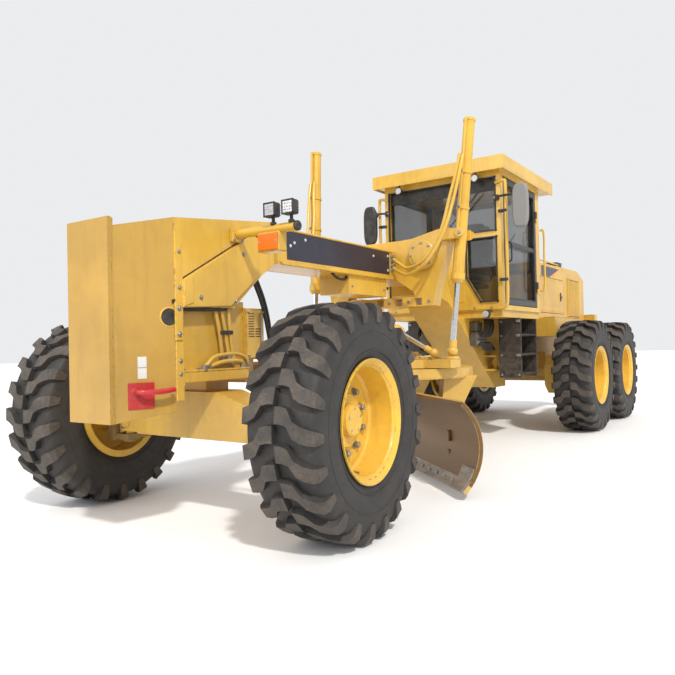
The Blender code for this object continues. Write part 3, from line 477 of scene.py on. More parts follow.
YELLOW = Paint("yellow_enamel", (0.72, 0.43, 0.055))
# Painted shade: a darker copy of the yellow enamel for the push block's front plate, which faces away from
# the sun.
PAINTED_SHADE_YELLOW = Paint("nose_plate_enamel", (0.5, 0.29, 0.045), gloss=0.42, dust=0.35, dust_top=2.2)
CAB_YELLOW = Paint("cab_enamel", (0.74, 0.45, 0.06), gloss=0.26, dust=0.25, chips=0.6)
RIM_YELLOW = Paint("rim_enamel", (0.84, 0.5, 0.04), gloss=0.34, dust=0.42, dust_top=1.5)
BLACK = Paint("black_enamel", (0.016, 0.016, 0.018), gloss=0.36, dust=0.45, chips=0.5,
        bare=(0.16, 0.15, 0.14))
NAVY = Paint("navy_panel", (0.01, 0.014, 0.04), gloss=0.28, dust=0.2, dust_top=2.4, chips=0.0)
RED = Paint("red_enamel", (0.5, 0.012, 0.022), gloss=0.3, dust=0.25, chips=0.6)
WHITE = Paint("white_label", (0.74, 0.73, 0.7), gloss=0.42, dust=0.25, chips=0.0)
# Painted shade: the yellow enamel darkened to brown for the knuckles, kingpin caps and drawbar ball, low down
# where shade falls.
SHADED_CASTING_YELLOW = Paint("casting_enamel", (0.3, 0.19, 0.045), gloss=0.55, dust=0.8, dust_top=1.6)
STEEL = Metal("bolt_steel", (0.42, 0.41, 0.39), roughness=0.34, soil=0.3)
CHROME = Metal("chromed_rod", (0.78, 0.79, 0.81), roughness=0.07)
BLADE_STEEL = Metal("blade_steel", (0.3, 0.22, 0.16), roughness=0.36, soil=0.78, brushed=(1, 1, 3.0))
EDGE_STEEL = Metal("cutting_edge", (0.42, 0.38, 0.33), roughness=0.3, soil=0.45, brushed=(1, 1, 4.0))
TYRE_RUBBER = Rubber("tyre_rubber", (0.016, 0.015, 0.015), dust=0.16, dust_colour=(0.2, 0.17, 0.14))
TREAD_TOP = Rubber("tread_top", (0.024, 0.022, 0.021), dust=0.5, dust_colour=(0.23, 0.18, 0.135))
HOSE = Rubber("hose_rubber", (0.014, 0.014, 0.015), dust=0.16)
SEAL = Plastic("black_trim", (0.012, 0.012, 0.013), roughness=0.5)
GREY = Plastic("grey_moulding", (0.22, 0.22, 0.22), roughness=0.5)
TINTED = Glass("tinted_glass", (0.018, 0.024, 0.026), clear=0.62)
LENS = Glass("lamp_lens", (0.72, 0.74, 0.75), clear=0.45, film=0.25)
AMBER = Plastic("amber_lens", (0.8, 0.16, 0.012), roughness=0.18, dust=0.12)
LAMP_RED = Plastic("red_lens", (0.55, 0.012, 0.012), roughness=0.16, dust=0.12)
REFLECTOR = Metal("lamp_reflector", (0.86, 0.86, 0.88), roughness=0.05)
SEAT_CLOTH = Cloth("seat_cloth", (0.05, 0.05, 0.056))
ENGINE_IRON = Metal("engine_iron", (0.2, 0.19, 0.18), roughness=0.48, soil=0.4)


# ---------------------------------------------------------------- shapes


@dataclass(frozen=True)
class Shape:
    """Points and faces as whole arrays; each array of faces holds faces with one number of corners."""

    points: Array
    faces: tuple[Array, ...]

    def moved(self, place: Matrix | Array) -> "Shape":
        """The shape under a 4x4 matrix.

        Args:
            place: the matrix; a mirroring one also turns the faces round.

        Returns:
            The moved shape.
        """
        turn = np.array(place, float)
        points = self.points @ turn[:3, :3].T + turn[:3, 3]
        mirrored = np.linalg.det(turn[:3, :3]) < 0
        return Shape(points, tuple(f[:, ::-1] for f in self.faces) if mirrored else self.faces)

    def at(self, x: float, y: float, z: float) -> "Shape":
        """The shape moved by an offset."""
        return Shape(self.points + np.array((x, y, z)), self.faces)

    def mirrored(self, side: Side) -> "Shape":
        """The shape for that side of the machine, from one made for the left."""
        return self if side is Side.LEFT else self.moved(np.diag((-1.0, 1.0, 1.0, 1.0)))

    def repeated(self, places: Array) -> "Shape":
        """Copies of the shape at many places, as one shape.

        Args:
            places: 4x4 matrices, shape (n, 4, 4), or offsets, shape (n, 3).

        Returns:
            The copies.
        """
        places = np.asarray(places, float)
        count, size = len(places), len(self.points)
        if places.shape[1:] == (3,):
            points = places[:, None, :] + self.points
        else:
            points = np.einsum("nij,kj->nki", places[:, :3, :3], self.points) + places[:, None, :3, 3]
        shift = (np.arange(count) * size)[:, None, None]
        return Shape(points.reshape(-1, 3), tuple((f + shift).reshape(-1, f.shape[1]) for f in self.faces))


def joined(*shapes: Shape) -> Shape:
    """Several shapes as one."""
    starts = np.cumsum([0] + [len(s.points) for s in shapes[:-1]])
    faces = tuple(f + start for s, start in zip(shapes, starts) for f in s.faces)
    return Shape(np.concatenate([s.points for s in shapes]), faces)


def outward(shape: Shape) -> Shape:
    """A convex shape with each face turned to look away from its middle.

    Args:
        shape: the convex shape.

    Returns:
        The shape, with a face reversed where its normal meets the middle.
    """
    middle, turned = shape.points.mean(0), []
    for faces in shape.faces:
        p = shape.points[faces]
        normal = np.cross(p[:, 1] - p[:, 0], p[:, 2] - p[:, 0])
        inward = ((p.mean(1) - middle) * normal).sum(1) < 0
        turned.append(np.where(inward[:, None], faces[:, ::-1], faces))
    return Shape(shape.points, tuple(turned))


def block(x: Sequence[float], y: Sequence[float], z: Sequence[float], bevel: float = 0.003) -> Shape:
    """A box between two values on each axis, with its edges chamfered.

    Args:
        x: low and high X.
        y: low and high Y.
        z: low and high Z.
        bevel: width of the chamfer.

    Returns:
        A box of 24 points: each corner gives one point on each of its three faces.
    """
    span = np.array((x, y, z), float)
    centre, half = span.mean(1), np.abs(span[:, 1] - span[:, 0]) / 2
    bevel = min(bevel, 0.45 * half.min())
    signs = np.array([(a, b, c) for a in (-1, 1) for b in (-1, 1) for c in (-1, 1)], float)
    inset = half - bevel * (1 - np.eye(3))
    points = (signs[:, None, :] * inset[None]).reshape(-1, 3) + centre
    index = np.arange(24).reshape(2, 2, 2, 3)
    flat, slant = [], []
    for a in range(3):
        sides = np.moveaxis(index[..., a], a, 0)
        flat += [side[[0, 0, 1, 1], [0, 1, 1, 0]] for side in sides]
        b, c = (a + 1) % 3, (a + 2) % 3
        first, second = (np.moveaxis(index[..., k], c, 2) for k in (a, b))
        first, second = first.reshape(4, 2), second.reshape(4, 2)
        slant.append(np.stack((first[:, 0], first[:, 1], second[:, 1], second[:, 0]), 1))
    quads = np.concatenate([np.array(flat), np.concatenate(slant)])
    return outward(Shape(points, (quads, index.reshape(8, 3))))


def smooth_path(points: Sequence[Point], steps: int = 8) -> Array:
    """A Catmull-Rom curve through points.

    Args:
        points: points that the curve passes.
        steps: new points to each span.

    Returns:
        Points along the curve, 0.5 * (basis of t) @ (four neighbours) for each t.
    """
    p = np.asarray(points, float)
    p = np.concatenate([2 * p[:1] - p[1:2], p, 2 * p[-1:] - p[-2:-1]])
    t = np.linspace(0, 1, steps, endpoint=False)[:, None]
    basis = 0.5 * np.concatenate([-t + 2 * t**2 - t**3, 2 - 5 * t**2 + 3 * t**3, t + 4 * t**2 - 3 * t**3,
            t**3 - t**2], 1)
    groups = np.stack([p[:-3], p[1:-2], p[2:-1], p[3:]], 1)
    return np.concatenate([(basis @ groups).reshape(-1, 3), p[-2:-1]])


def grid_faces(rows: int, columns: int, wrap: bool = True) -> Array:
    """Quads of a grid of points, row by row.

    Args:
        rows: number of rows.
        columns: number of points in each row.
        wrap: whether each row closes on itself.

    Returns:
        Indices of the quads.
    """
    index = np.arange(rows * columns).reshape(rows, columns)
    if wrap:
        index = np.concatenate([index, index[:, :1]], 1)
    return np.stack([index[:-1, :-1], index[:-1, 1:], index[1:, 1:], index[1:, :-1]], -1).reshape(-1, 4)


def swept(path: Sequence[Point], section: Array, scale: Optional[Array] = None) -> Shape:
    """A closed section carried along a path, with both ends capped.

    Args:
        path: points along the middle.
        section: corners of the section, shape (k, 2), anticlockwise.
        scale: factor of the section at each point of the path.

    Returns:
        The solid. Its first axis is the path's flattest direction, so it doesn't twist on a plane path.
    """
    path = np.asarray(path, float)
    way = np.gradient(path, axis=0)
    way /= np.linalg.norm(way, axis=1, keepdims=True)
    flat = np.linalg.svd(path - path.mean(0))[2][2]
    side = np.cross(way, flat)
    side /= np.linalg.norm(side, axis=1, keepdims=True)
    up = np.cross(side, way)
    size = np.ones(len(path)) if scale is None else np.asarray(scale, float)
    rings = section[None] * size[:, None, None]
    points = path[:, None] + rings[..., :1] * side[:, None] + rings[..., 1:] * up[:, None]
    count = len(section)
    last = (len(path) - 1) * count + np.arange(count)
    faces = grid_faces(len(path), count)[:, ::-1]
    return Shape(points.reshape(-1, 3), (faces, np.arange(count)[None], last[None, ::-1]))


def circle(radius: float, sides: int = 10) -> Array:
    """Corners of a round section."""
    angle = np.linspace(0, 2 * math.pi, sides, endpoint=False)
    return np.stack((radius * np.cos(angle), radius * np.sin(angle)), 1)


def tube(points: Sequence[Point], radius: float, sides: int = 10, steps: int = 8) -> Shape:
    """A round bar or hose on a smooth curve.

    Args:
        points: points that the middle passes; two give a straight bar.
        radius: of the bar.
        sides: corners of its section.
        steps: stations to each span.

    Returns:
        The bar.
    """
    path = np.asarray(points, float) if len(points) == 2 else smooth_path(points, steps)
    return swept(path, circle(radius, sides))


def turned(profile: Sequence[tuple[float, float]], steps: int = 24, start: Point = (0, 0, 0),
        axis: Point = (1, 0, 0)) -> Shape:
    """A closed profile spun about an axis.

    Args:
        profile: (distance along the axis, radius) pairs.
        steps: number of places round.
        start: point from which the distances run.
        axis: direction of the axis.

    Returns:
        The ring; a profile that touches the axis closes there.
    """
    p = np.asarray(profile, float)
    angle = np.linspace(0, 2 * math.pi, steps, endpoint=False)
    frame = np.array(Vector(axis).to_track_quat("X", "Z").to_matrix())
    ring = np.stack([np.broadcast_to(p[:, 0], (steps, len(p))), np.outer(np.cos(angle), p[:, 1]),
            np.outer(np.sin(angle), p[:, 1])], -1)
    points = ring.reshape(-1, 3) @ frame.T + np.asarray(start, float)
    rows = np.concatenate([np.arange(steps * len(p)).reshape(steps, len(p)), np.arange(len(p))[None]])
    rows = np.concatenate([rows, rows[:, :1]], 1)
    faces = np.stack([rows[:-1, :-1], rows[:-1, 1:], rows[1:, 1:], rows[1:, :-1]], -1).reshape(-1, 4)
    return Shape(points, (faces,))


def disc(start: Point, axis: Point, radius: float, height: float, bevel: float = 0.002,
        steps: int = 20) -> Shape:
    """A round boss that stands on a surface.

    Args:
        start: middle of its foot.
        axis: the way it stands.
        radius: of the boss.
        height: of the boss.
        bevel: chamfer of its top edge.
        steps: number of sides.

    Returns:
        The boss.
    """
    bevel = min(bevel, height * 0.9, radius * 0.5)
    return turned([(0, 0), (height, 0), (height, radius - bevel), (height - bevel, radius), (0, radius)],
            steps, start, axis)


def panel(outline: Sequence[tuple[float, float]], origin: Point, across: Point, up: Point, thick: float,
        bevel: float = 0.002) -> Shape:
    """A flat plate of any outline that stands on a surface, its outer edge chamfered.

    Args:
        outline: (across, up) corners, in order.
        origin: where the outline's zero lies.
        across: direction of the first number.
        up: direction of the second number.
        thick: how far the plate stands out, along across x up.
        bevel: width of the chamfer.

    Returns:
        The plate. Each corner of its top moves in by bevel / cos(half the corner's turn).
    """
    flat = np.asarray(outline, float)
    edge = np.roll(flat, -1, 0) - flat
    area = (flat[:, 0] * np.roll(flat[:, 1], -1) - np.roll(flat[:, 0], -1) * flat[:, 1]).sum()
    if area < 0:
        flat = flat[::-1]
        edge = np.roll(flat, -1, 0) - flat
    inward = np.stack((-edge[:, 1], edge[:, 0]), 1) / np.linalg.norm(edge, axis=1, keepdims=True)
    before = np.roll(inward, 1, 0)
    corner = (inward + before) / (1 + (inward * before).sum(1, keepdims=True)).clip(0.2)
    a, u = np.asarray(Vector(across).normalized()), np.asarray(Vector(up).normalized())
    out = np.cross(a, u)
    bevel = min(bevel, abs(thick) * 0.8)
    layers = ((flat, 0.0), (flat, thick - bevel), (flat + corner * bevel, thick))
    points = np.concatenate([np.asarray(origin) + f[:, :1] * a + f[:, 1:] * u + h * out for f, h in layers])
    n = len(flat)
    return Shape(points, (grid_faces(3, n), np.arange(n)[None, ::-1], (2 * n + np.arange(n))[None]))


def bolts(places: Sequence[Point], out: Point, radius: float = 0.011, height: float = 0.008) -> Shape:
    """Hexagon bolt heads on washers.

    Args:
        places: middle of each bolt's foot.
        out: the way that the heads point.
        radius: of a head's corners.
        height: of a head above its washer.

    Returns:
        All the bolts as one shape.
    """
    washer = disc((0, 0, 0), out, radius * 1.35, height * 0.3, 0.001, 12)
    head = disc(tuple(np.asarray(out, float) * height * 0.3), out, radius, height, 0.0015, 6)
    return joined(washer, head).repeated(np.asarray(places, float))


def spread(low: float, high: float, count: int) -> Array:
    """Evenly spaced values, both ends included."""
    return np.linspace(low, high, count)


def piece(name: str, parts: Sequence[tuple[Shape, Finish]], body: str, replaces: Sequence[str] = (),
        smooth: float = 32.0) -> bpy.types.Object:
    """Puts a named piece in the scene, with one material for each finish, and lets it ride on a body.

    Args:
        name: the piece's name.
        parts: shapes with their finishes.
        body: name of the CAD body that carries it; empty leaves it on no body.
        replaces: CAD nodes that it stands for.
        smooth: edges flatter than this many degrees are shaded round.

    Returns:
        The object.
    """
    whole = joined(*(shape for shape, _ in parts))
    mesh = bpy.data.meshes.new(name)
    sizes = np.concatenate([np.full(len(f), f.shape[1]) for f in whole.faces])
    corners = np.concatenate([f.ravel() for f in whole.faces])
    mesh.vertices.add(len(whole.points))
    mesh.vertices.foreach_set("co", whole.points.astype(np.float32).ravel())
    mesh.loops.add(len(corners))
    mesh.loops.foreach_set("vertex_index", corners.astype(np.int32))
    mesh.polygons.add(len(sizes))
    mesh.polygons.foreach_set("loop_start", np.concatenate([[0], np.cumsum(sizes)[:-1]]).astype(np.int32))
    finishes = list(dict.fromkeys(finish for _, finish in parts))
    for finish in finishes:
        mesh.materials.append(finish.material())
    counts = [sum(len(f) for f in shape.faces) for shape, _ in parts]
    index = np.repeat([finishes.index(finish) for _, finish in parts], counts)
    mesh.polygons.foreach_set("material_index", index.astype(np.int32))
    mesh.update(calc_edges=True)
    mesh.validate()
    mesh.shade_smooth()
    mesh.set_sharp_from_angle(angle=math.radians(smooth))
    thing = bpy.data.objects.new(name, mesh)
    bpy.context.scene.collection.objects.link(thing)
    if body:
        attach(thing, body)
    if replaces:
        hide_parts(*replaces)
    return thing


# ---------------------------------------------------------------- wheels


@dataclass
class Wheel:
    """One wheel: a tyre with chunky diagonal lugs on a deep steel rim."""

    row: Row
    side: Side
    radius: float = 0.674
    half: float = 0.222
    lug_depth: float = 0.036
    lugs: int = 22
    bead: float = 0.352
    rim_half: float = 0.208
    disc_out: float = 0.01
    wheel_bolts: int = 10

    def place(self) -> Matrix:
        """The wheel's frame: X out of the machine, from the wheel's joint."""
        name = f"wheel_{self.row.word}_{self.side.word}"
        joint = JOINTS[name]
        out = Vector(joint["axis"]) * self.side.value
        return Matrix.Translation(joint["pos_m"]) @ out.to_track_quat("X", "Z").to_matrix().to_4x4()

    def carcass(self) -> Shape:
        """The tyre's body under its lugs."""
        crown, h = self.radius - self.lug_depth, self.half
        side = [(h - 0.036, self.bead - 0.03), (h - 0.034, self.bead + 0.006), (h - 0.012, self.bead + 0.05),
                (h - 0.004, self.bead + 0.12), (h - 0.01, crown - 0.07), (h - 0.026, crown - 0.022),
                (h - 0.06, crown - 0.004)]
        ring = smooth_path([(x, r, 0.0) for x, r in side], 3)[:, :2]
        outline = np.concatenate([ring, (ring * (-1, 1))[::-1]])
        return turned([tuple(p) for p in outline], 88)

    def lug(self) -> tuple[Shape, Shape]:
        """One lug of the outer half at the top of the wheel.

        Returns:
            Its sides, and its worn top. A station's corner (x, r, a) lies at (x, r sin a, r cos a).
        """
        r, h = self.radius, self.half
        pitch = 2 * math.pi / self.lugs
        stations = np.array([  # top x, top r, base x, base r, turn in pitches, half width in pitches
            (0.006, r - 0.002, 0.002, r - 0.05, 0.0, 0.27), (0.04, r, 0.04, r - 0.05, 0.0, 0.27),
            (0.078, r, 0.078, r - 0.05, -0.05, 0.27), (0.112, r - 0.002, 0.112, r - 0.05, -0.36, 0.26),
            (0.15, r - 0.006, 0.15, r - 0.055, -0.47, 0.26), (h - 0.024, r - 0.014, h - 0.05, r - 0.062,
                -0.54, 0.25),
            (h - 0.003, r - 0.04, h - 0.04, r - 0.07, -0.58, 0.24), (h, r - 0.078, h - 0.03, r - 0.086,
                -0.61, 0.22), (h - 0.002, r - 0.12, h - 0.022, r - 0.122, -0.64, 0.17)])
        tx, tr, bx, br, turn, wide = stations.T
        draft = 0.045
        rows = [(bx, br, turn - wide), (tx, tr, turn - wide + draft), (tx, tr, turn + wide - draft),
                (bx, br, turn + wide)]
        corners = np.stack([np.stack((x, q * np.sin(a * pitch), q * np.cos(a * pitch)), -1)
                for x, q, a in rows], 1)
        count = len(stations)
        index = np.arange(count * 4).reshape(count, 4)
        walls = np.concatenate([np.stack((index[:-1, k], index[:-1, k + 1], index[1:, k + 1], index[1:, k]),
                -1) for k in (0, 2)])
        ends = np.stack([index[0, ::-1], index[-1]])
        top = np.stack((index[:-1, 1], index[:-1, 2], index[1:, 2], index[1:, 1]), -1)
        points = corners.reshape(-1, 3)
        return Shape(points, (walls[:, ::-1], ends[:, ::-1])), Shape(points, (top[:, ::-1],))

    def around(self, shape: Shape, count: int, phase: float = 0.0) -> Shape:
        """Copies of a shape turned evenly round the axle."""
        turns = [Matrix.Rotation(2 * math.pi * (k + phase) / count, 4, "X") for k in range(count)]
        return shape.repeated(np.array(turns))

    def tyre(self, place: Matrix) -> None:
        """Builds the tyre with both rows of lugs, the side's rings and the bead."""
        flip = np.diag((-1.0, 1.0, 1.0, 1.0))
        side, top = self.lug()
        parts = [(self.carcass(), TYRE_RUBBER)]
        for shape, finish in ((side, TYRE_RUBBER), (top, TREAD_TOP)):
            parts += [(self.around(shape, self.lugs), finish),
                    (self.around(shape.moved(flip), self.lugs, 0.5), finish)]
        for radius, out in ((self.bead + 0.045, self.half - 0.0105), (self.bead + 0.15, self.half - 0.005)):
            ring = turned([(out - 0.01, radius - 0.007), (out + 0.002, radius - 0.003),
                    (out + 0.002, radius + 0.003), (out - 0.01, radius + 0.007)], 72)
            parts += [(ring, TYRE_RUBBER), (ring.moved(flip), TYRE_RUBBER)]
        node = f"tyre_{self.row.word}_{self.side.word}"
        piece("tread_" + node, [(s.moved(place), f) for s, f in parts], self.body(), [node], 30.0)

    def rim(self, place: Matrix) -> None:
        """Builds the rim: flanges, barrel, lock ring, disc, hub, wheel bolts and valve."""
        w, b, d = self.rim_half, self.bead, self.disc_out
        barrel = [(w, b - 0.004), (w - 0.003, b), (w - 0.013, b), (w - 0.018, b - 0.008), (w - 0.022, 0.32),
                (-w + 0.022, 0.32), (-w + 0.013, b), (-w, b), (-w, 0.306), (-0.03, 0.304),
                (-0.018, 0.29), (-0.014, 0.17), (-0.07, 0.15), (-0.09, 0.145), (-0.09, 0.056),
                (0.05, 0.056), (0.05, 0.0), (0.086, 0.0), (0.086, 0.08), (0.078, 0.092), (0.045, 0.098),
                (0.04, 0.15), (d + 0.012, 0.158), (d + 0.004, 0.2), (d + 0.014, 0.235),
                (d + 0.006, 0.284), (0.03, 0.303), (w - 0.04, 0.305), (w - 0.034, 0.312),
                (w - 0.024, 0.316), (w - 0.012, 0.334), (w - 0.002, 0.344)]
        ring = [2 * math.pi * k / self.wheel_bolts for k in range(self.wheel_bolts)]
        nuts = bolts([(d + 0.005, 0.19 * math.sin(a), 0.19 * math.cos(a)) for a in ring], (1, 0, 0), 0.019,
                0.026)
        cap = bolts([(0.078, 0.066 * math.sin(a), 0.066 * math.cos(a)) for a in ring[::2]], (1, 0, 0), 0.009,
                0.007)
        valve = tube([(d + 0.006, 0.0, -0.262), (0.055, 0.0, -0.285), (0.105, 0.0, -0.292)], 0.006, 8)
        parts = [(turned(barrel, 72), RIM_YELLOW), (nuts, STEEL), (cap, STEEL), (valve, STEEL)]
        node = f"rim_{self.row.word}_{self.side.word}"
        piece("dished_" + node, [(s.moved(place), f) for s, f in parts], self.body(), [node], 28.0)

    def body(self) -> str:
        """The body that turns with this wheel."""
        return f"wheel_{self.row.word}_{self.side.word}"

    def build(self) -> None:
        """Builds the tyre and the rim."""
        place = self.place()
        self.tyre(place)
        self.rim(place)


# ---------------------------------------------------------------- front end

MAIN, REAR = "main_frame", "articulation"


def fitted(x: float, offset: float, z: float) -> Point:
    """A point given by its distance behind the front axle."""
    return x, along(offset), z


def side_panel(outline: Sequence[tuple[float, float]], x: float, side: Side, thick: float,
        bevel: float = 0.003) -> Shape:
    """A plate on a side of the machine.

    Args:
        outline: (distance behind the front axle, z) corners.
        x: the surface that it lies on.
        side: the side of the machine.
        thick: how far it stands out.
        bevel: width of its chamfer.

    Returns:
        The plate.
    """
    return panel(outline, fitted(x, 0.0, 0.0), (0, 1, 0), (0, 0, 1), thick, bevel).mirrored(side)


@dataclass
class Nose:
    """Trim of the push block and the nose: seam, hinge plates, gussets, blank labels and tow hook."""

    half: float = 0.28
    seam: float = -0.51
    plate: tuple[float, float, float] = (-0.884, -0.86, 0.183)
    gusset: tuple[tuple[float, float], ...] = ((-0.46, 1.5), (0.12, 1.82), (0.22, 1.58), (-0.06, 1.36),
            (-0.46, 1.34))

    def block_place(self) -> Matrix:
        """Frame on the push block's left face: X back along the face, Y up, Z out."""
        start, end = Vector(fitted(0.178, -0.86, 0.0)), Vector(fitted(self.half, self.seam, 0.0))
        back = (end - start).normalized()
        out = back.cross(Vector((0, 0, 1)))
        turn = Matrix((back, Vector((0, 0, 1)), out)).transposed().to_4x4()
        return Matrix.Translation(start) @ turn

    def seam_trim(self, side: Side) -> None:
        """The flange behind the seam, with its bolts, and the hinge plate over its round hole."""
        x, s = self.half, self.seam
        flange = side_panel([(s + 0.004, 0.8), (s + 0.062, 0.8), (s + 0.062, 1.855), (s + 0.004, 1.855)], x,
                side, 0.005)
        hinge = side_panel([(s - 0.006, 1.15), (s + 0.048, 1.15), (s + 0.048, 1.352), (s - 0.006, 1.372)],
                x + 0.005, side, 0.009)
        heads = bolts([fitted(x + 0.005, s + 0.035, z) for z in (1.665, 1.455, 1.03, 0.955)], (1, 0, 0),
                0.01, 0.006)
        pins = bolts([fitted(x + 0.014, s + 0.022, z) for z in (1.335, 1.185)], (1, 0, 0), 0.012, 0.008)
        # Painted shade: a thin black strip over the hinge plate stands for the dark gap there.
        slot_shade = side_panel([(s - 0.02, 1.36), (s + 0.03, 1.372), (s + 0.03, 1.392), (s - 0.02, 1.384)], x,
                side, 0.002)
        piece(f"seam_flange_{side.word}", [(flange, YELLOW), (hinge, YELLOW), (heads.mirrored(side), STEEL),
                (pins.mirrored(side), STEEL), (slot_shade, SEAL)], MAIN)

    def hole(self, side: Side) -> None:
        """The round hole beside the hinge plate, with its rim and a black disc of painted shade in it."""
        place = self.block_place()
        rim = turned([(-0.002, 0.05), (0.004, 0.05), (0.004, 0.056), (-0.002, 0.06)], 40,
                (0.33, 1.284, 0), (0, 0, 1))
        # Painted shade: a flat black disc stands for the hole's dark inside.
        dark = disc((0.33, 1.284, 0.0), (0, 0, 1), 0.05, 0.0015, 0.0005, 40)
        piece(f"nose_hole_{side.word}", [(rim.moved(place).mirrored(side), YELLOW),
                (dark.moved(place).mirrored(side), SEAL)], MAIN)

    def gussets(self, side: Side) -> None:
        """The folded gusset cover, its dark upper seam, its bolts and a black strip of painted shade below
        it.
        """
        x = self.half
        cover = side_panel(self.gusset, x, side, 0.018, 0.006)
        y0, z0, y1, z1 = -0.46, 1.502, 0.105, 1.816
        seam = side_panel([(y0, z0), (y1, z1), (y1, z1 + 0.008), (y0, z0 + 0.008)], x, side, 0.003, 0.001)
        fold = side_panel([(-0.455, 1.345), (-0.38, 1.37), (-0.38, 1.545), (-0.455, 1.505)], x + 0.018,
                side, 0.006, 0.006)
        heads = bolts([fitted(x + 0.018, y, z) for y, z in ((-0.32, 1.405), (-0.02, 1.395), (0.06, 1.7))],
                (1, 0, 0), 0.011)
        # Painted shade: a black strip under the cover's lower edge.
        shade = side_panel([(-0.44, 1.32), (-0.08, 1.33), (-0.06, 1.35), (-0.46, 1.35)], x - 0.015, side,
                0.004)
        piece(f"gusset_{side.word}", [(cover, YELLOW), (fold, YELLOW), (seam, SEAL),
                (heads.mirrored(side), STEEL), (shade, SEAL)], MAIN)

    def labels(self) -> None:
        """A blank white label, and the red plate with its bent tow hook."""
        place = self.block_place()
        label = block((0.138, 0.19), (0.94, 1.062), (0, 0.0012), 0.0004)
        line = block((0.1385, 0.1895), (0.999, 1.003), (0.001, 0.0018), 0.0003)
        red = block((0.08, 0.232), (0.772, 0.918), (0, 0.008), 0.002)
        hook = tube([(0.12, 0.868, 0.01), (0.135, 0.868, 0.05), (0.185, 0.866, 0.062),
                (0.25, 0.866, 0.064), (0.318, 0.872, 0.058), (0.33, 0.872, 0.04)], 0.015, 14, 8)
        weld = disc((0.12, 0.868, 0.007), (0, 0, 1), 0.024, 0.01, 0.006)
        piece("blank_label", [(label.moved(place), WHITE), (line.moved(place), GREY)], MAIN)
        for side in Side:
            parts = [(shape.moved(place).mirrored(side), RED) for shape in (red, hook, weld)]
            piece(f"tow_hook_{side.word}", parts, MAIN)

    def front_plate(self) -> None:
        """The weld and the return flange round the front plate."""
        _, rear, half = self.plate
        edge = [block((s * (half - 0.004) - 0.004, s * (half - 0.004) + 0.004),
                (along(rear) - 0.001, along(rear) + 0.012), (0.705, 1.82), 0.002) for s in (-1, 1)]
        weld = tube([fitted(half - 0.012, rear + 0.006, 0.72), fitted(half - 0.012, rear + 0.006, 1.78)],
                0.006, 8)
        # The flange and weld take the front plate's painted shade.
        piece("plate_flange", [(joined(*edge), PAINTED_SHADE_YELLOW), (weld, PAINTED_SHADE_YELLOW)], MAIN)

    def build(self) -> None:
        """Builds the trim of both sides."""
        for side in Side:
            self.seam_trim(side)
            self.hole(side)
            self.gussets(side)
        self.labels()
        self.front_plate()


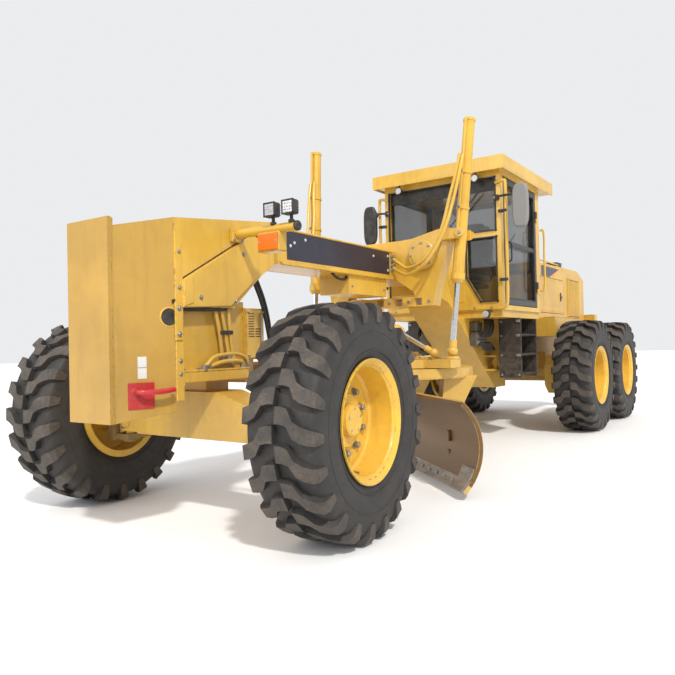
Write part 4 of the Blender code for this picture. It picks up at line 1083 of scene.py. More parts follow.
@dataclass
class NoseHydraulics:
    """The hoses and the valve box between the nose and the front axle."""

    valve_x: float = 0.235
    hose_radius: float = 0.013

    def hoses(self) -> None:
        """Steel pipes down from the nose, the looped hoses over the axle and the curved hoses behind."""
        x = 0.25
        runs = {"steering_pipe_1": [fitted(x, -0.165, 1.365), fitted(x, -0.125, 1.2),
                fitted(x - 0.01, -0.095, 1.04)],
            "steering_pipe_2": [fitted(x, -0.11, 1.365), fitted(x, -0.075, 1.2), fitted(x, -0.045, 1.04)],
            "steering_pipe_3": [fitted(x, -0.045, 1.365), fitted(x + 0.005, -0.035, 1.2),
                fitted(x, -0.005, 1.01)],
            "axle_loop_1": [fitted(x + 0.01, -0.265, 0.985), fitted(x + 0.015, -0.19, 1.045),
                fitted(x + 0.01, -0.09, 1.06),
                fitted(x, 0.02, 1.062), fitted(x - 0.01, 0.11, 1.04), fitted(x - 0.01, 0.15, 0.995)],
            "axle_loop_2": [fitted(x, -0.225, 0.985), fitted(x + 0.02, -0.14, 1.012),
                fitted(x + 0.02, -0.03, 1.02), fitted(x + 0.01, 0.06, 1.012), fitted(x, 0.085, 0.985)],
            "tilt_hose_1": [fitted(0.215, 0.235, 1.56), fitted(0.245, 0.285, 1.4),
                fitted(0.25, 0.33, 1.24), fitted(0.235, 0.375, 1.09), fitted(0.205, 0.37, 1.01)],
            "tilt_hose_2": [fitted(0.2, 0.275, 1.58), fitted(0.225, 0.33, 1.42),
                fitted(0.23, 0.375, 1.25), fitted(0.215, 0.4, 1.11), fitted(0.19, 0.385, 1.02)], }
        for name, points in runs.items():
            hose = tube(points, self.hose_radius, 12, 8)
            ends = joined(*(disc(p, (0, 0, 1), self.hose_radius * 1.6, 0.03, 0.004, 6).at(0, 0, -0.015)
                    for p in (points[0], points[-1])))
            finish = HOSE if name.startswith("tilt") else YELLOW
            piece(name, [(hose, finish), (ends, STEEL)], MAIN)
        clamp = block((x - 0.02, x + 0.022), (along(-0.13), along(-0.02)), (1.185, 1.21), 0.004)
        piece("pipe_clamp", [(clamp, SEAL), (bolts([fitted(x, -0.075, 1.21)], (0, 0, 1)), STEEL)], MAIN)

    def valve_box(self) -> None:
        """The slotted cover of the valve, its handle rod and its bolts."""
        x = self.valve_x
        cover = side_panel([(0.135, 1.03), (0.3, 1.03), (0.3, 1.352), (0.135, 1.352)], x, Side.LEFT, 0.01)
        # Painted shade: black bars on the cover stand for the dark insides of its slots.
        slot_shade = block((x + 0.008, x + 0.0115), (along(0.15), along(0.205)), (0, 0.006), 0.001)
        columns = np.array([(0, dy, z) for dy in (0.0, 0.066) for z in spread(1.17, 1.32, 10)])
        rail = tube([fitted(x + 0.02, 0.262, 1.12), fitted(x + 0.02, 0.262, 1.33)], 0.006)
        piece("valve_cover", [(cover, YELLOW), (slot_shade.repeated(columns[:10]), SEAL),
                (slot_shade.repeated(columns[10:14]), SEAL),
                (rail, STEEL), (bolts([fitted(x + 0.01, y, z) for y in (0.15, 0.285)
                for z in (1.05, 1.335)], (1, 0, 0), 0.008), STEEL)], MAIN)

    def axle_plate(self) -> None:
        """The plate on the bolster and its folded front lip, with bolts."""
        top = block((-0.27, 0.27), (along(-0.47), along(0.13)), (0.962, 0.974), 0.003)
        lip = block((0.214, 0.268), (along(-0.465), along(0.12)), (0.9, 0.962), 0.004)
        other = lip.moved(np.diag((-1.0, 1.0, 1.0, 1.0)))
        heads = bolts([fitted(0.245, y, 0.974) for y in (-0.42, -0.3, 0.08)], (0, 0, 1))
        piece("bolster_plate", [(top, YELLOW), (lip, YELLOW), (other, YELLOW), (heads, STEEL)], MAIN)

    def build(self) -> None:
        """Builds the hoses, the valve cover and the plate under them."""
        self.hoses()
        self.valve_box()
        self.axle_plate()


@dataclass
class LampArm:
    """The lamps, the turn signal and the cap on one of the nose's side arms."""

    side: Side
    z: float = 1.82
    reach: float = 0.8
    lamp_x: tuple[float, float] = (0.614, 0.755)
    lamp_z: float = 1.93
    lamp_half: float = 0.044

    def lamp(self, x: float) -> list[tuple[Shape, Finish]]:
        """A square work lamp with its fins, reflector, lens and stem."""
        h, front = self.lamp_half, -0.055
        case = block((x - h, x + h), (along(front + 0.004), along(0.006)), (self.lamp_z - h, self.lamp_z + h),
                0.008)
        bezel = joined(*(block(bx, (along(front - 0.004), along(front + 0.008)), bz, 0.002) for bx, bz in (
            ((x - h, x - h + 0.008), (self.lamp_z - h, self.lamp_z + h)), ((x + h - 0.008, x + h),
                (self.lamp_z - h, self.lamp_z + h)),
            ((x - h, x + h), (self.lamp_z - h, self.lamp_z - h + 0.008)), ((x - h, x + h),
                (self.lamp_z + h - 0.008, self.lamp_z + h)))))
        cell = block((-0.0085, 0.0085), (along(front - 0.001), along(front + 0.004)), (-0.0085, 0.0085),
                0.004)
        grid = np.array([(x + dx, 0.0, self.lamp_z + dz) for dx in spread(-0.026, 0.026, 4)
                for dz in spread(-0.026, 0.026, 4)])
        fins = block((x - h * 0.8, x + h * 0.8), (along(0.004), along(0.016)), (-0.0015, 0.0015),
                0.001).repeated(np.array([(0, 0, self.lamp_z + dz) for dz in spread(-0.03, 0.03, 5)]))
        stem = tube([fitted(x, -0.015, self.z + 0.02), fitted(x, -0.015, self.lamp_z - h)], 0.011)
        foot = disc(fitted(x, -0.015, self.z + 0.024), (0, 0, 1), 0.02, 0.014, 0.003)
        return [(case, SEAL), (bezel, SEAL), (cell.repeated(grid), REFLECTOR), (fins, SEAL), (stem, SEAL),
                (foot, SEAL)]

    def build(self) -> None:
        """Builds the arm's round tube with everything on it, and replaces the plain arm."""
        tube_end = self.reach - 0.022
        arm = turned([(0, 0), (tube_end - 0.28, 0), (tube_end - 0.28, 0.028), (0, 0.028)], 28,
                fitted(0.2803, 0, self.z), (1, 0, 0))
        cap = disc(fitted(tube_end, 0, self.z), (1, 0, 0), 0.031, 0.022, 0.006, 28)
        foot = block((0.2803, 0.31), (along(-0.05), along(0.05)), (self.z - 0.05, self.z + 0.035), 0.004)
        heads = bolts([fitted(0.31, y, self.z - 0.036) for y in (-0.036, 0.036)], (1, 0, 0), 0.009)
        box = block((0.5, 0.67), (along(-0.034), along(0.045)), (self.z - 0.14, self.z - 0.018), 0.006)
        signal = block((0.508, 0.662), (along(-0.045), along(-0.034)), (self.z - 0.13, self.z - 0.03), 0.005)
        ribs = block((0.512, 0.658), (along(-0.0462), along(-0.0445)), (-0.0012, 0.0012), 0.0005).repeated(
            np.array([(0, 0, z) for z in spread(self.z - 0.122, self.z - 0.038, 12)]))
        screws = bolts([fitted(x, -0.0452, self.z - 0.08) for x in (0.52, 0.65)], (0, -1, 0), 0.005, 0.003)
        wire = tube([fitted(0.44, 0.02, self.z - 0.026), fitted(0.5, 0.046, self.z - 0.045),
                fitted(0.56, 0.05, self.z - 0.02), fitted(0.62, 0.034, self.z + 0.006)], 0.004, 8)
        parts = [(arm, YELLOW), (cap, SEAL), (foot, YELLOW), (heads, STEEL), (box, YELLOW), (signal, AMBER),
                (ribs, AMBER), (screws, STEEL), (wire, SEAL)]
        for x in self.lamp_x:
            parts += self.lamp(x)
        piece(f"lamps_{self.side.word}", [(shape.mirrored(self.side), finish) for shape, finish in parts],
              MAIN, [f"lamp_arm_{self.side.word}"])


@dataclass
class AxleTrim:
    """Bolts and caps of the front axle's lean pins and kingpins."""

    lean_x: float = 0.68
    lean_z: float = 0.6
    kingpin_x: float = 0.8

    def build(self) -> None:
        """Builds the trim of both sides."""
        for side in Side:
            front = (0, -1, 0)
            cap = disc(fitted(self.lean_x, -0.126, self.lean_z), front, 0.044, 0.013, 0.004, 24)
            keeper = bolts([fitted(self.lean_x + dx, -0.126, self.lean_z + dz)
                    for dx, dz in ((-0.03, 0.045), (0.03, -0.045))], front, 0.009)
            parts = [(cap, YELLOW), (keeper, STEEL)]
            piece(f"lean_pin_cap_{side.word}", [(s.mirrored(side), f) for s, f in parts], MAIN)
            # The kingpin caps take the casting yellow's painted shade.
            top = disc(fitted(self.kingpin_x, 0, 0.9065), (0, 0, 1), 0.048, 0.012, 0.004, 24)
            low = disc(fitted(self.kingpin_x, 0, 0.4495), (0, 0, -1), 0.048, 0.012, 0.004, 24)
            ring = bolts([fitted(self.kingpin_x + 0.034 * math.cos(a), 0.034 * math.sin(a), 0.9185)
                    for a in (0.5, 2.6, 4.7)], (0, 0, 1), 0.008)
            piece(f"kingpin_caps_{side.word}", [(s.mirrored(side), f)
                    for s, f in ((top, SHADED_CASTING_YELLOW), (low, SHADED_CASTING_YELLOW), (ring, STEEL))], f"steer_{side.word}")


# ---------------------------------------------------------------- beam, saddle, cylinders and blade


def frame_on(start: Point, end: Point, away: Point = (0, -1, 0)) -> Matrix:
    """A frame with X from one point to another and Z as near as can be to a direction.

    Args:
        start: the frame's origin.
        end: a point on its X axis.
        away: direction that Z leans to.

    Returns:
        The 4x4 matrix: Y = away x X, and Z = X x Y.
    """
    x = (Vector(end) - Vector(start)).normalized()
    y = Vector(away).cross(x).normalized()
    return Matrix.Translation(start) @ Matrix((x, y, x.cross(y))).transposed().to_4x4()


@dataclass
class Beam:
    """The blank dark panel on each side of the main beam, its flanges, bolts and hose fittings."""

    half: float = 0.165
    start: float = 0.665
    end: float = 2.15
    low: float = 1.738
    high: float = 1.944

    def build(self) -> None:
        """Builds both sides and the box below."""
        x = self.half
        for side in Side:
            skin = side_panel([(self.start, self.low), (self.end, self.low), (self.end, self.high),
                    (self.start, self.high + 0.004)], x, side, 0.004)
            top = side_panel([(0.58, 1.95), (2.2, 1.943), (2.2, 1.955), (0.58, 1.963)], x, side, 0.009)
            low = side_panel([(0.6, 1.692), (2.2, 1.69), (2.2, 1.728), (0.66, 1.73), (0.58, 1.715)], x,
                    side, 0.012, 0.006)
            heads = bolts([fitted(x + 0.004, y, z)
                    for y, z in ((0.705, 1.841), (0.752, 1.868), (0.887, 1.905), (1.87, 1.883),
                    (2.118, 1.775), (2.118, 1.905))], (1, 0, 0), 0.009, 0.005)
            nipples = bolts([fitted(x, 2.195, z) for z in (1.905, 1.865, 1.825, 1.785)], (1, 0, 0), 0.016,
                    0.028)
            parts = [(skin, NAVY), (top, YELLOW), (low, YELLOW), (heads.mirrored(side), WHITE),
                    (nipples.mirrored(side), STEEL)]
            piece(f"beam_panel_{side.word}", parts, MAIN)
        y0, y1 = 1.5, 2.12
        box_lid = block((-0.157, 0.157), (along(y0 - 0.006), along(y1 + 0.006)), (1.688, 1.7), 0.003)
        screws = bolts([fitted(0.15, y, 1.6) for y in (y0 + 0.05, y1 - 0.05)], (1, 0, 0), 0.009)
        clip = tube([fitted(0.12, 1.3, 1.69), fitted(0.13, 1.36, 1.655), fitted(0.13, 1.46, 1.65),
                fitted(0.12, 1.52, 1.69)], 0.011, 10)
        piece("beam_box_lid", [(box_lid, YELLOW), (screws, STEEL), (clip, HOSE)], MAIN)


@dataclass
class SaddleTrim:
    """The round link castings, yoke caps and bolts of the lift saddle."""

    front: float = 2.2545
    cast: tuple[float, float, float] = (0.46, 1.9, 0.135)

    def build(self) -> None:
        """Builds the castings of both sides and the bar's bolts."""
        cx, cz, r = self.cast
        for side in Side:
            way = (0, -1, 0)
            body = turned([(0, 0), (0.055, 0), (0.055, r - 0.045), (0.046, r - 0.04), (0.046, r - 0.012),
                    (0.036, r), (0, r)], 48, fitted(cx, self.front, cz), way)
            ring = bolts([fitted(cx + (r - 0.026) * math.cos(a), self.front - 0.046,
                    cz + (r - 0.026) * math.sin(a)) for a in np.arange(8) * math.pi / 4], way, 0.011)
            web = panel([(cx - 0.13, cz - 0.02), (cx + 0.02, cz + 0.13), (0.66, 2.105), (0.66, 2.045),
                    (cx + 0.12, cz - 0.06)], fitted(0, self.front, 0), (1, 0, 0), (0, 0, 1), 0.02, 0.005)
            yoke = joined(*(disc(fitted(0.835, 2.33 + d * 0.1071, 2.06), (0, d, 0), 0.04, 0.016, 0.005,
                    24) for d in (-1, 1)))
            lock = bolts([fitted(0.835, 2.33 - 0.123, 2.06)], way, 0.013)
            parts = [(body, YELLOW), (ring, STEEL), (web, YELLOW), (yoke, YELLOW), (lock, STEEL)]
            piece(f"saddle_casting_{side.word}", [(s.mirrored(side), f) for s, f in parts], MAIN)
        bar = bolts([fitted(x, self.front, 1.485) for x in (-0.51, -0.3, -0.1, 0.1, 0.3, 0.51)],
                (0, -1, 0), 0.012)
        piece("saddle_bar_bolts", [(bar, STEEL)], MAIN)


@dataclass
class Jack:
    """Bands, gland, end cap and side pipe of a hydraulic cylinder's barrel, and the cap on its rod's eye.

    name is the cylinder's name; top and mouth are the ends of its barrel, eye its rod's end.
    """

    name: str
    top: Point
    mouth: Point
    eye: Point
    radius: float
    bands: tuple[float, ...] = (0.33, 0.55)
    pipe: bool = True
    away: Point = (0, -1, 0)

    def build(self) -> None:
        """Builds the barrel's trim and the rod's eye cap."""
        frame = frame_on(self.top, self.mouth, self.away)
        length, r = (Vector(self.mouth) - Vector(self.top)).length, self.radius
        gland = [(length - 0.075, r), (length - 0.075, r + 0.009), (length - 0.018, r + 0.009),
                (length - 0.01, r + 0.003),
                (length + 0.012, r * 0.8), (length + 0.016, r * 0.56), (length - 0.02, r * 0.53)]
        parts = [(turned(gland, 36), YELLOW)]
        cap = [(0.01, 0.0), (-0.0008, 0.0), (-0.0008, r * 0.94), (0.008, r + 0.004), (0.03, r + 0.004),
               (0.034, r - 0.001)]
        parts.append((turned(cap, 36), YELLOW))
        for share in self.bands:
            x = share * length
            parts.append((turned([(x, r - 0.001), (x, r + 0.006), (x + 0.026, r + 0.006),
                    (x + 0.026, r - 0.001)], 36), YELLOW))
        if self.pipe:
            run = [(0.03, 0, r * 0.9), (0.034, 0, r + 0.022), (0.085, 0, r + 0.024),
                   (length * 0.5, 0, r + 0.022), (length * 0.72, 0, r + 0.024), (length * 0.74, 0, r * 0.9)]
            parts.append((tube(run, 0.011, 12, 8), YELLOW))
            clips = [block((share * length - 0.004, share * length + 0.03), (-0.02, 0.02),
                    (r - 0.004, r + 0.038), 0.006) for share in self.bands]
            parts.append((joined(*clips), YELLOW))
            parts.append((bolts([(share * length + 0.013, 0.0, r + 0.038) for share in self.bands], (0, 0, 1),
                    0.01), STEEL))
        piece(self.name + "_barrel_trim", [(s.moved(frame), f) for s, f in parts], self.name + "_barrel")
        reach = (Vector(self.eye) - Vector(self.top)).length
        ball = self.radius * 0.9
        angle = spread(0.0, math.pi, 14)
        knob = [(reach - ball * math.cos(a), ball * math.sin(a)) for a in angle[::-1]]
        collar = [(reach - ball - 0.05, r * 0.52), (reach - ball - 0.05, r * 0.66),
                (reach - ball * 0.7, r * 0.7), (reach - ball * 0.7, r * 0.52)]
        eye = [(turned(knob, 32), YELLOW), (turned(collar, 32), YELLOW)]
        piece(self.name + "_rod_eye", [(s.moved(frame), f) for s, f in eye], self.name + "_rod")


@dataclass
class CylinderHoses:
    """The two hoses from the beam's fittings to the left lift cylinder, and their mates on the right."""

    radius: float = 0.015

    def build(self) -> None:
        """Builds the hoses, each from the beam's fittings to its barrel, on no body."""
        runs = [[(0.185, 2.195, 1.885), (0.25, 2.17, 1.84), (0.38, 2.12, 1.78), (0.56, 2.1, 1.85),
                (0.69, 2.15, 2.08), (0.745, 2.24, 2.4), (0.79, 2.3, 2.64), (0.8, 2.335, 2.78)],
                [(0.185, 2.195, 1.805), (0.26, 2.16, 1.76), (0.4, 2.09, 1.72), (0.6, 2.06, 1.82),
                (0.735, 2.11, 2.06), (0.79, 2.2, 2.34), (0.825, 2.27, 2.6), (0.84, 2.32, 2.76)]]
        for side in Side:
            for number, run in enumerate(runs, 1):
                points = smooth_path([fitted(*p) for p in run], 8)
                hose = swept(points, circle(self.radius, 12)).mirrored(side)
                thing = piece(f"lift_hose_{side.word}_{number}", [(hose, YELLOW)], "")
                a, b = (Vector(points[k]) for k in (18, 44))
                for p in (a, b):
                    p.x *= side.value
                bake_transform(thing)


@dataclass
class Blade:
    """The turned blade: a curved mouldboard with rails, cutting edges, end bits and worn faces."""

    centre_y: float = -1.115
    turn: float = math.radians(42.0)
    length: float = 3.658
    chord: float = 0.61
    radius: float = 0.413
    thick: float = 0.022
    edge_z: float = 0.06
    edge_out: float = 0.1
    rail_out: float = -0.16
    rail_r: float = 0.026

    def place(self) -> Matrix:
        """The frame of the circle and blade: X to the blade's left end, Y rearward across it."""
        return Matrix.Translation((0, self.centre_y, 0)) @ Matrix.Rotation(-self.turn, 4, "Z")

    def arc(self, radius: float, low: float = -1.0, high: float = 1.0, steps: int = 28) -> Array:
        """Points (Y, Z) of the mouldboard's arc, between two shares of its height.

        Args:
            radius: of the arc.
            low: -1 is the bottom edge.
            high: 1 is the top edge.
            steps: number of points.

        Returns:
            The points, (R cos a - middle, R sin a + middle height).
        """
        reach = math.asin(self.chord / 2 / self.radius)
        depth = self.radius - math.sqrt(self.radius**2 - (self.chord / 2) ** 2)
        middle = self.edge_out - depth + self.radius
        a = spread(low * reach, high * reach, steps)
        return np.stack((radius * np.cos(a) - middle, radius * np.sin(a) + self.edge_z + self.chord / 2), 1)

    def wall(self, low: float, high: float, x: tuple[float, float], inner: float, outer: float) -> Shape:
        """Part of the arc as a solid between two values of X."""
        ring = np.concatenate([self.arc(inner, low, high), self.arc(outer, low, high)[::-1]])
        stations = spread(x[0], x[1], 12)
        points = np.concatenate([np.concatenate([np.full((len(ring), 1), s), ring], 1) for s in stations])
        n, last = len(ring), (len(stations) - 1) * len(ring)
        strip = np.arange(n // 2 - 1)
        cap = np.stack((strip, strip + 1, n - 2 - strip, n - 1 - strip), 1)
        return Shape(points, (grid_faces(len(stations), n), cap[:, ::-1], cap + last))

    def build(self) -> None:
        """Builds the blade in place of the CAD one, and the circle's shoes and bolts."""
        half, r, t = self.length / 2, self.radius, self.thick
        board = self.wall(-0.8, 1.0, (-half, half), r, r + t)
        edge = self.wall(-1.0, -0.72, (-half + 0.006, half - 0.006), r - 0.01, r + 0.012)
        bits = joined(*(self.wall(-1.0, -0.45, span, r - 0.019, r - 0.006) for span in
                ((-half + 0.013, -half + 0.2), (half - 0.2, half - 0.013))))
        ends = joined(*(self.wall(-0.98, 1.0, span, r - 0.002, r + t + 0.005) for span in
                ((-half + 0.005, -half + 0.015), (half - 0.015, half - 0.005))))
        top_bar = self.wall(0.955, 1.0, (-half + 0.014, half - 0.014), r + t - 0.002, r + t + 0.012)
        place = self.arc(r - 0.012, -0.86, -0.86, 1)[0]
        holes = bolts([(x, place[0], place[1]) for x in spread(-half + 0.1, half - 0.1, 24)], (0, -1, 0.55),
                0.014, 0.005)
        y = -self.rail_out
        rails = joined(*(turned([(-1.305, 0), (1.305, 0), (1.305, self.rail_r), (-1.305, self.rail_r)], 28,
                (0, y, z)) for z in (0.25, 0.52)))
        wall_y = -(self.edge_out - (r - math.sqrt(r * r - (self.chord / 2) ** 2))) - t / 2
        posts = joined(*(block((s - 0.02, s + 0.02), (wall_y - 0.01, y + 0.03), (z - 0.03, z + 0.03),
                0.005) for s in (-1.3, 1.3) for z in (0.25, 0.52)))
        post = block((1.281, 1.319), (wall_y - 0.01, y + 0.05), (0.345, 0.425), 0.005)
        rod = turned([(0.0, 0), (1.305, 0), (1.305, 0.02), (0.0, 0.02)], 28, (0, y + 0.02, 0.385))
        frame = self.place()
        parts = [(board, BLADE_STEEL), (edge, EDGE_STEEL), (bits, EDGE_STEEL), (ends, YELLOW),
                (top_bar, YELLOW), (holes, STEEL),
                (rails, CHROME), (posts, BLADE_STEEL), (post, BLADE_STEEL), (rod, CHROME)]
        piece("mouldboard", [(s.moved(frame), f) for s, f in parts], "blade_shift", ["blade"])
        self.circle_trim(frame)

    def circle_trim(self, frame: Matrix) -> None:
        """The circle's outer wear ring and bolts, and the drawbar's shoes and drive cover."""
        band = turned([(0.8, 0.762), (0.8, 0.7655), (0.87, 0.7655), (0.87, 0.762)], 96, (0, 0, 0), (0, 0, 1))
        ring = bolts([(0.7 * math.cos(a), 0.7 * math.sin(a), 0.789) for a in np.arange(24) * math.pi / 12],
                (0, 0, -1), 0.013)
        piece("circle_ring", [(band.moved(frame), YELLOW), (ring.moved(frame), STEEL)], "circle")
        y = self.centre_y
        cover = turned([(0, 0), (0.052, 0), (0.052, 0.055), (0.044, 0.062), (0.02, 0.068), (0.016, 0.096),
                (0, 0.1)], 40, (0, y + 0.42, 0.968), (0, 0, 1))
        lugs = bolts([(0.084 * math.cos(a), y + 0.42 + 0.084 * math.sin(a), 0.984)
                for a in np.arange(8) * math.pi / 4], (0, 0, 1))
        plates = joined(*(block((s * 0.5 - 0.07, s * 0.5 + 0.07), (y + d - 0.06, y + d + 0.06),
                (0.96, 0.972), 0.003) for s, d in ((-1, -0.33), (1, -0.33), (-1, 0.1), (1, 0.1))))
        heads = bolts([(s * 0.5 + a, y + d + b, 0.972)
                for s, d in ((-1, -0.33), (1, -0.33), (-1, 0.1), (1, 0.1))
                for a in (-0.05, 0.05) for b in (-0.04, 0.04)], (0, 0, 1), 0.012)
        studs = joined(*(turned([(0, 0.0), (0, 0.062), (0.012, 0.062), (0.024, 0.05), (0.03, 0.0)], 32,
                (s * 0.7465, along(2.212), 0.9605), (0, 0, 1)) for s in (-1, 1)))
        hose = tube([(0.34, along(2.31), 0.97), (0.42, along(2.34), 0.978), (0.48, along(2.4), 0.984),
                (0.46, along(2.46), 0.984), (0.4, along(2.5), 0.978), (0.3, along(2.54), 0.97)], 0.013, 12)
        piece("drawbar_trim", [(cover, YELLOW), (lugs, STEEL), (plates, YELLOW), (heads, STEEL),
                (studs, YELLOW), (hose, YELLOW)], "drawbar")


# ---------------------------------------------------------------- cab


@dataclass
class Cab:
    """Window seals, frames, rails, roof edge, lamps and wiper of the cab, outside and in."""

    front: float = 3.58
    rear: float = 4.84
    half: float = 0.7
    wall: float = 0.05
    roof_low: float = 2.91
    roof_high: float = 3.04

    def seal(self, outline: Sequence[tuple[float, float]], y: float, way: int) -> Shape:
        """A rubber seal round a window in a front or rear wall.

        Args:
            outline: (x, z) corners of the window.
            y: the wall's outer face, behind the front axle.
            way: -1 faces forward, 1 rearward.

        Returns:
            A flat tube through the corners, drawn in a little so that it covers the window's edge.
        """
        ring = np.array([(x, along(y) + way * 0.003, z) for x, z in outline])
        middle = ring.mean(0)
        ring = middle + (ring - middle) * 0.988
        sides = [swept([a, b], np.array([(-0.013, -0.006), (0.013, -0.006), (0.013, 0.006), (-0.013, 0.006)]))
                for a, b in zip(ring, np.roll(ring, -1, 0))]
        corners = [disc((p[0], p[1] - way * 0.006, p[2]), (0, way, 0), 0.014, 0.012, 0.003, 14) for p in ring]
        return joined(*sides, *corners)

    def windows(self) -> None:
        """The seals of the front and rear windows, and the dark upper band of the windscreen."""
        inner, f, r = self.half - self.wall, self.front, self.rear
        upper = [(-inner, 2.28), (inner, 2.28), (inner, 2.85), (-inner, 2.85)]
        parts = [(self.seal(upper, f, -1), SEAL)]
        for s in (-1, 1):
            low = [(s * inner, 2.22), (s * inner, 1.53), (s * 0.46, 1.53), (s * 0.3, 1.8), (s * 0.3, 2.22)]
            parts.append((self.seal(low, f, -1), SEAL))
        back = [(-0.58, 1.95), (0.58, 1.95), (0.58, 2.8), (-0.58, 2.8)]
        parts.append((self.seal(back, r, 1), SEAL))
        band = block((-inner + 0.01, inner - 0.01), (along(f) + 0.043, along(f) + 0.0485), (2.715, 2.848),
                0.001)
        parts.append((band, SEAL))
        piece("window_seals", parts, MAIN)

    def rails(self) -> None:
        """The yellow handrails at the front corners, their clamps, and the grab handles at the cab's rear."""
        for side in Side:
            x, y = self.half + 0.052, self.front - 0.012
            pipe = tube([fitted(self.half - 0.05, y + 0.004, 2.78), fitted(x - 0.01, y - 0.01, 2.79),
                    fitted(x + 0.01, y - 0.006, 2.74),
                    fitted(x + 0.01, y, 2.35), fitted(x + 0.01, y, 1.86), fitted(x + 0.006, y, 1.55),
                    fitted(x - 0.015, y - 0.002, 1.47), fitted(self.half - 0.05, y + 0.002,
                    1.455)], 0.017, 14, 8)
            clamps = joined(*(block((self.half - 0.02, x + 0.022), (along(y - 0.022), along(y + 0.03)),
                    (z, z + 0.03), 0.005) for z in (2.46, 1.74)))
            heads = bolts([fitted(x + 0.022, y, z + 0.015) for z in (2.46, 1.74)], (1, 0, 0), 0.01)
            grip = tube([fitted(x - 0.02, 4.77, 2.42), fitted(x + 0.022, 4.775, 2.4),
                    fitted(x + 0.024, 4.78, 2.1),
                    fitted(x + 0.022, 4.775, 1.74), fitted(x - 0.03, 4.77, 1.7)], 0.012, 12, 8)
            parts = [(pipe, CAB_YELLOW), (clamps, SEAL), (heads, STEEL), (grip, CAB_YELLOW)]
            piece(f"cab_rail_{side.word}", [(s.mirrored(side), f) for s, f in parts], MAIN)

    def roof(self) -> None:
        """The roof's folded lip, panels, ribs, small roof lamps and rear lamps, and a flood lamp on its foot.
        """
        w, f, r = self.half + 0.085, self.front - 0.13, self.rear + 0.3
        lip = joined(block((-w + 0.004, w - 0.004), (along(f), along(f + 0.014)),
                (self.roof_low - 0.016, self.roof_low + 0.004), 0.003),
                *(block((s * (w - 0.009) - 0.007, s * (w - 0.009) + 0.007),
                (along(f + 0.004), along(r - 0.004)),
                (self.roof_low - 0.016, self.roof_low + 0.004), 0.003) for s in (-1, 1)))
        panels = block((-0.56, 0.56), (along(f + 0.14), along(r - 0.14)),
                (self.roof_high - 0.001, self.roof_high + 0.012), 0.01)
        ribs = block((-0.5, 0.5), (-0.02, 0.02), (self.roof_high + 0.01, self.roof_high + 0.02),
                0.008).repeated(np.array([(0, along(y), 0) for y in spread(f + 0.32, r - 0.32, 5)]))
        lamps, rims = [], []
        for x, y, way in ((-0.46, f + 0.02, -1), (0.46, f + 0.02, -1), (-0.5, r - 0.02, 1),
                (0.5, r - 0.02, 1)):
            z = self.roof_low - 0.07
            rims.append(turned([(0, 0), (0.03, 0), (0.058, 0.03), (0.062, 0.043), (0.056, 0.046),
                    (0.01, 0.034), (0, 0.02)], 32, (x, along(y) - way * 0.058, z), (0, way, 0)))
            rims.append(tube([(x, along(y) - way * 0.035, z + 0.03),
                    (x, along(y) - way * 0.035, self.roof_low + 0.006)], 0.01))
            lamps.append(turned([(0, 0), (0.004, 0.02), (0, 0.04), (-0.01, 0.0)], 32,
                    (x, along(y) + way * 0.0005, z), (0, way, 0)))
        flood = disc(fitted(0.555, self.front - 0.075, 1.395), (0, -1, 0), 0.04, 0.05, 0.012, 30)
        glass = turned([(0, 0), (0.006, 0.016), (0.001, 0.034), (-0.006, 0.0)], 30,
                fitted(0.555, self.front - 0.1255, 1.395), (0, -1, 0))
        foot = block((0.53, 0.58), (along(self.front - 0.08), along(self.front + 0.03)), (1.428, 1.439),
                0.002)
        piece("roof_trim", [(lip, CAB_YELLOW), (panels, CAB_YELLOW), (ribs, CAB_YELLOW),
                (joined(*rims), SEAL), (joined(*lamps), LENS),
                (flood, SEAL), (glass, LENS), (foot, SEAL)], MAIN)

    def wiper(self) -> None:
        """The wipers on the windscreen and the rear window, and the lower guard plates."""
        parts = []
        for y, way, x, z, tip in ((self.front, -1, 0.02, 2.255, (0.36, 2.6)),
                (self.rear, 1, 0.0, 1.93, (0.3, 2.3))):
            face = along(y) + way * 0.02
            arm = tube([(x, face, z), ((x + tip[0]) / 2, face + way * 0.01, (z + tip[1]) / 2),
                    (tip[0], face, tip[1])], 0.006, 10)
            way_to = Vector((tip[0] - x, 0, tip[1] - z)).normalized()
            ends = [Vector((tip[0], face - way * 0.005, tip[1])) + way_to * d for d in (-0.24, 0.16)]
            rubber = swept([tuple(ends[0]), tuple(ends[1])],
                    np.array([(-0.004, -0.009), (0.004, -0.009), (0.004, 0.009), (-0.004, 0.009)]))
            motor = disc((x, along(y) + way * 0.002, z), (0, way, 0), 0.026, 0.022, 0.006, 24)
            parts += [(arm, SEAL), (rubber, SEAL), (motor, SEAL)]
        sill = block((-0.66, 0.66), (along(self.front) - 0.006, along(self.front) + 0.002), (1.452, 1.492),
                0.003)
        rows = bolts([fitted(x, self.front - 0.006, 1.472) for x in spread(-0.58, 0.58, 7)], (0, -1, 0),
                0.009)
        middle = block((-0.27, 0.27), (along(self.front) - 0.005, along(self.front) + 0.002), (1.54, 2.21),
                0.004)
        parts += [(sill, CAB_YELLOW), (rows, STEEL), (middle, CAB_YELLOW)]
        piece("cab_wipers", parts, MAIN)

    def build(self) -> None:
        """Builds the cab's trim."""
        self.windows()
        self.rails()
        self.roof()
        self.wiper()


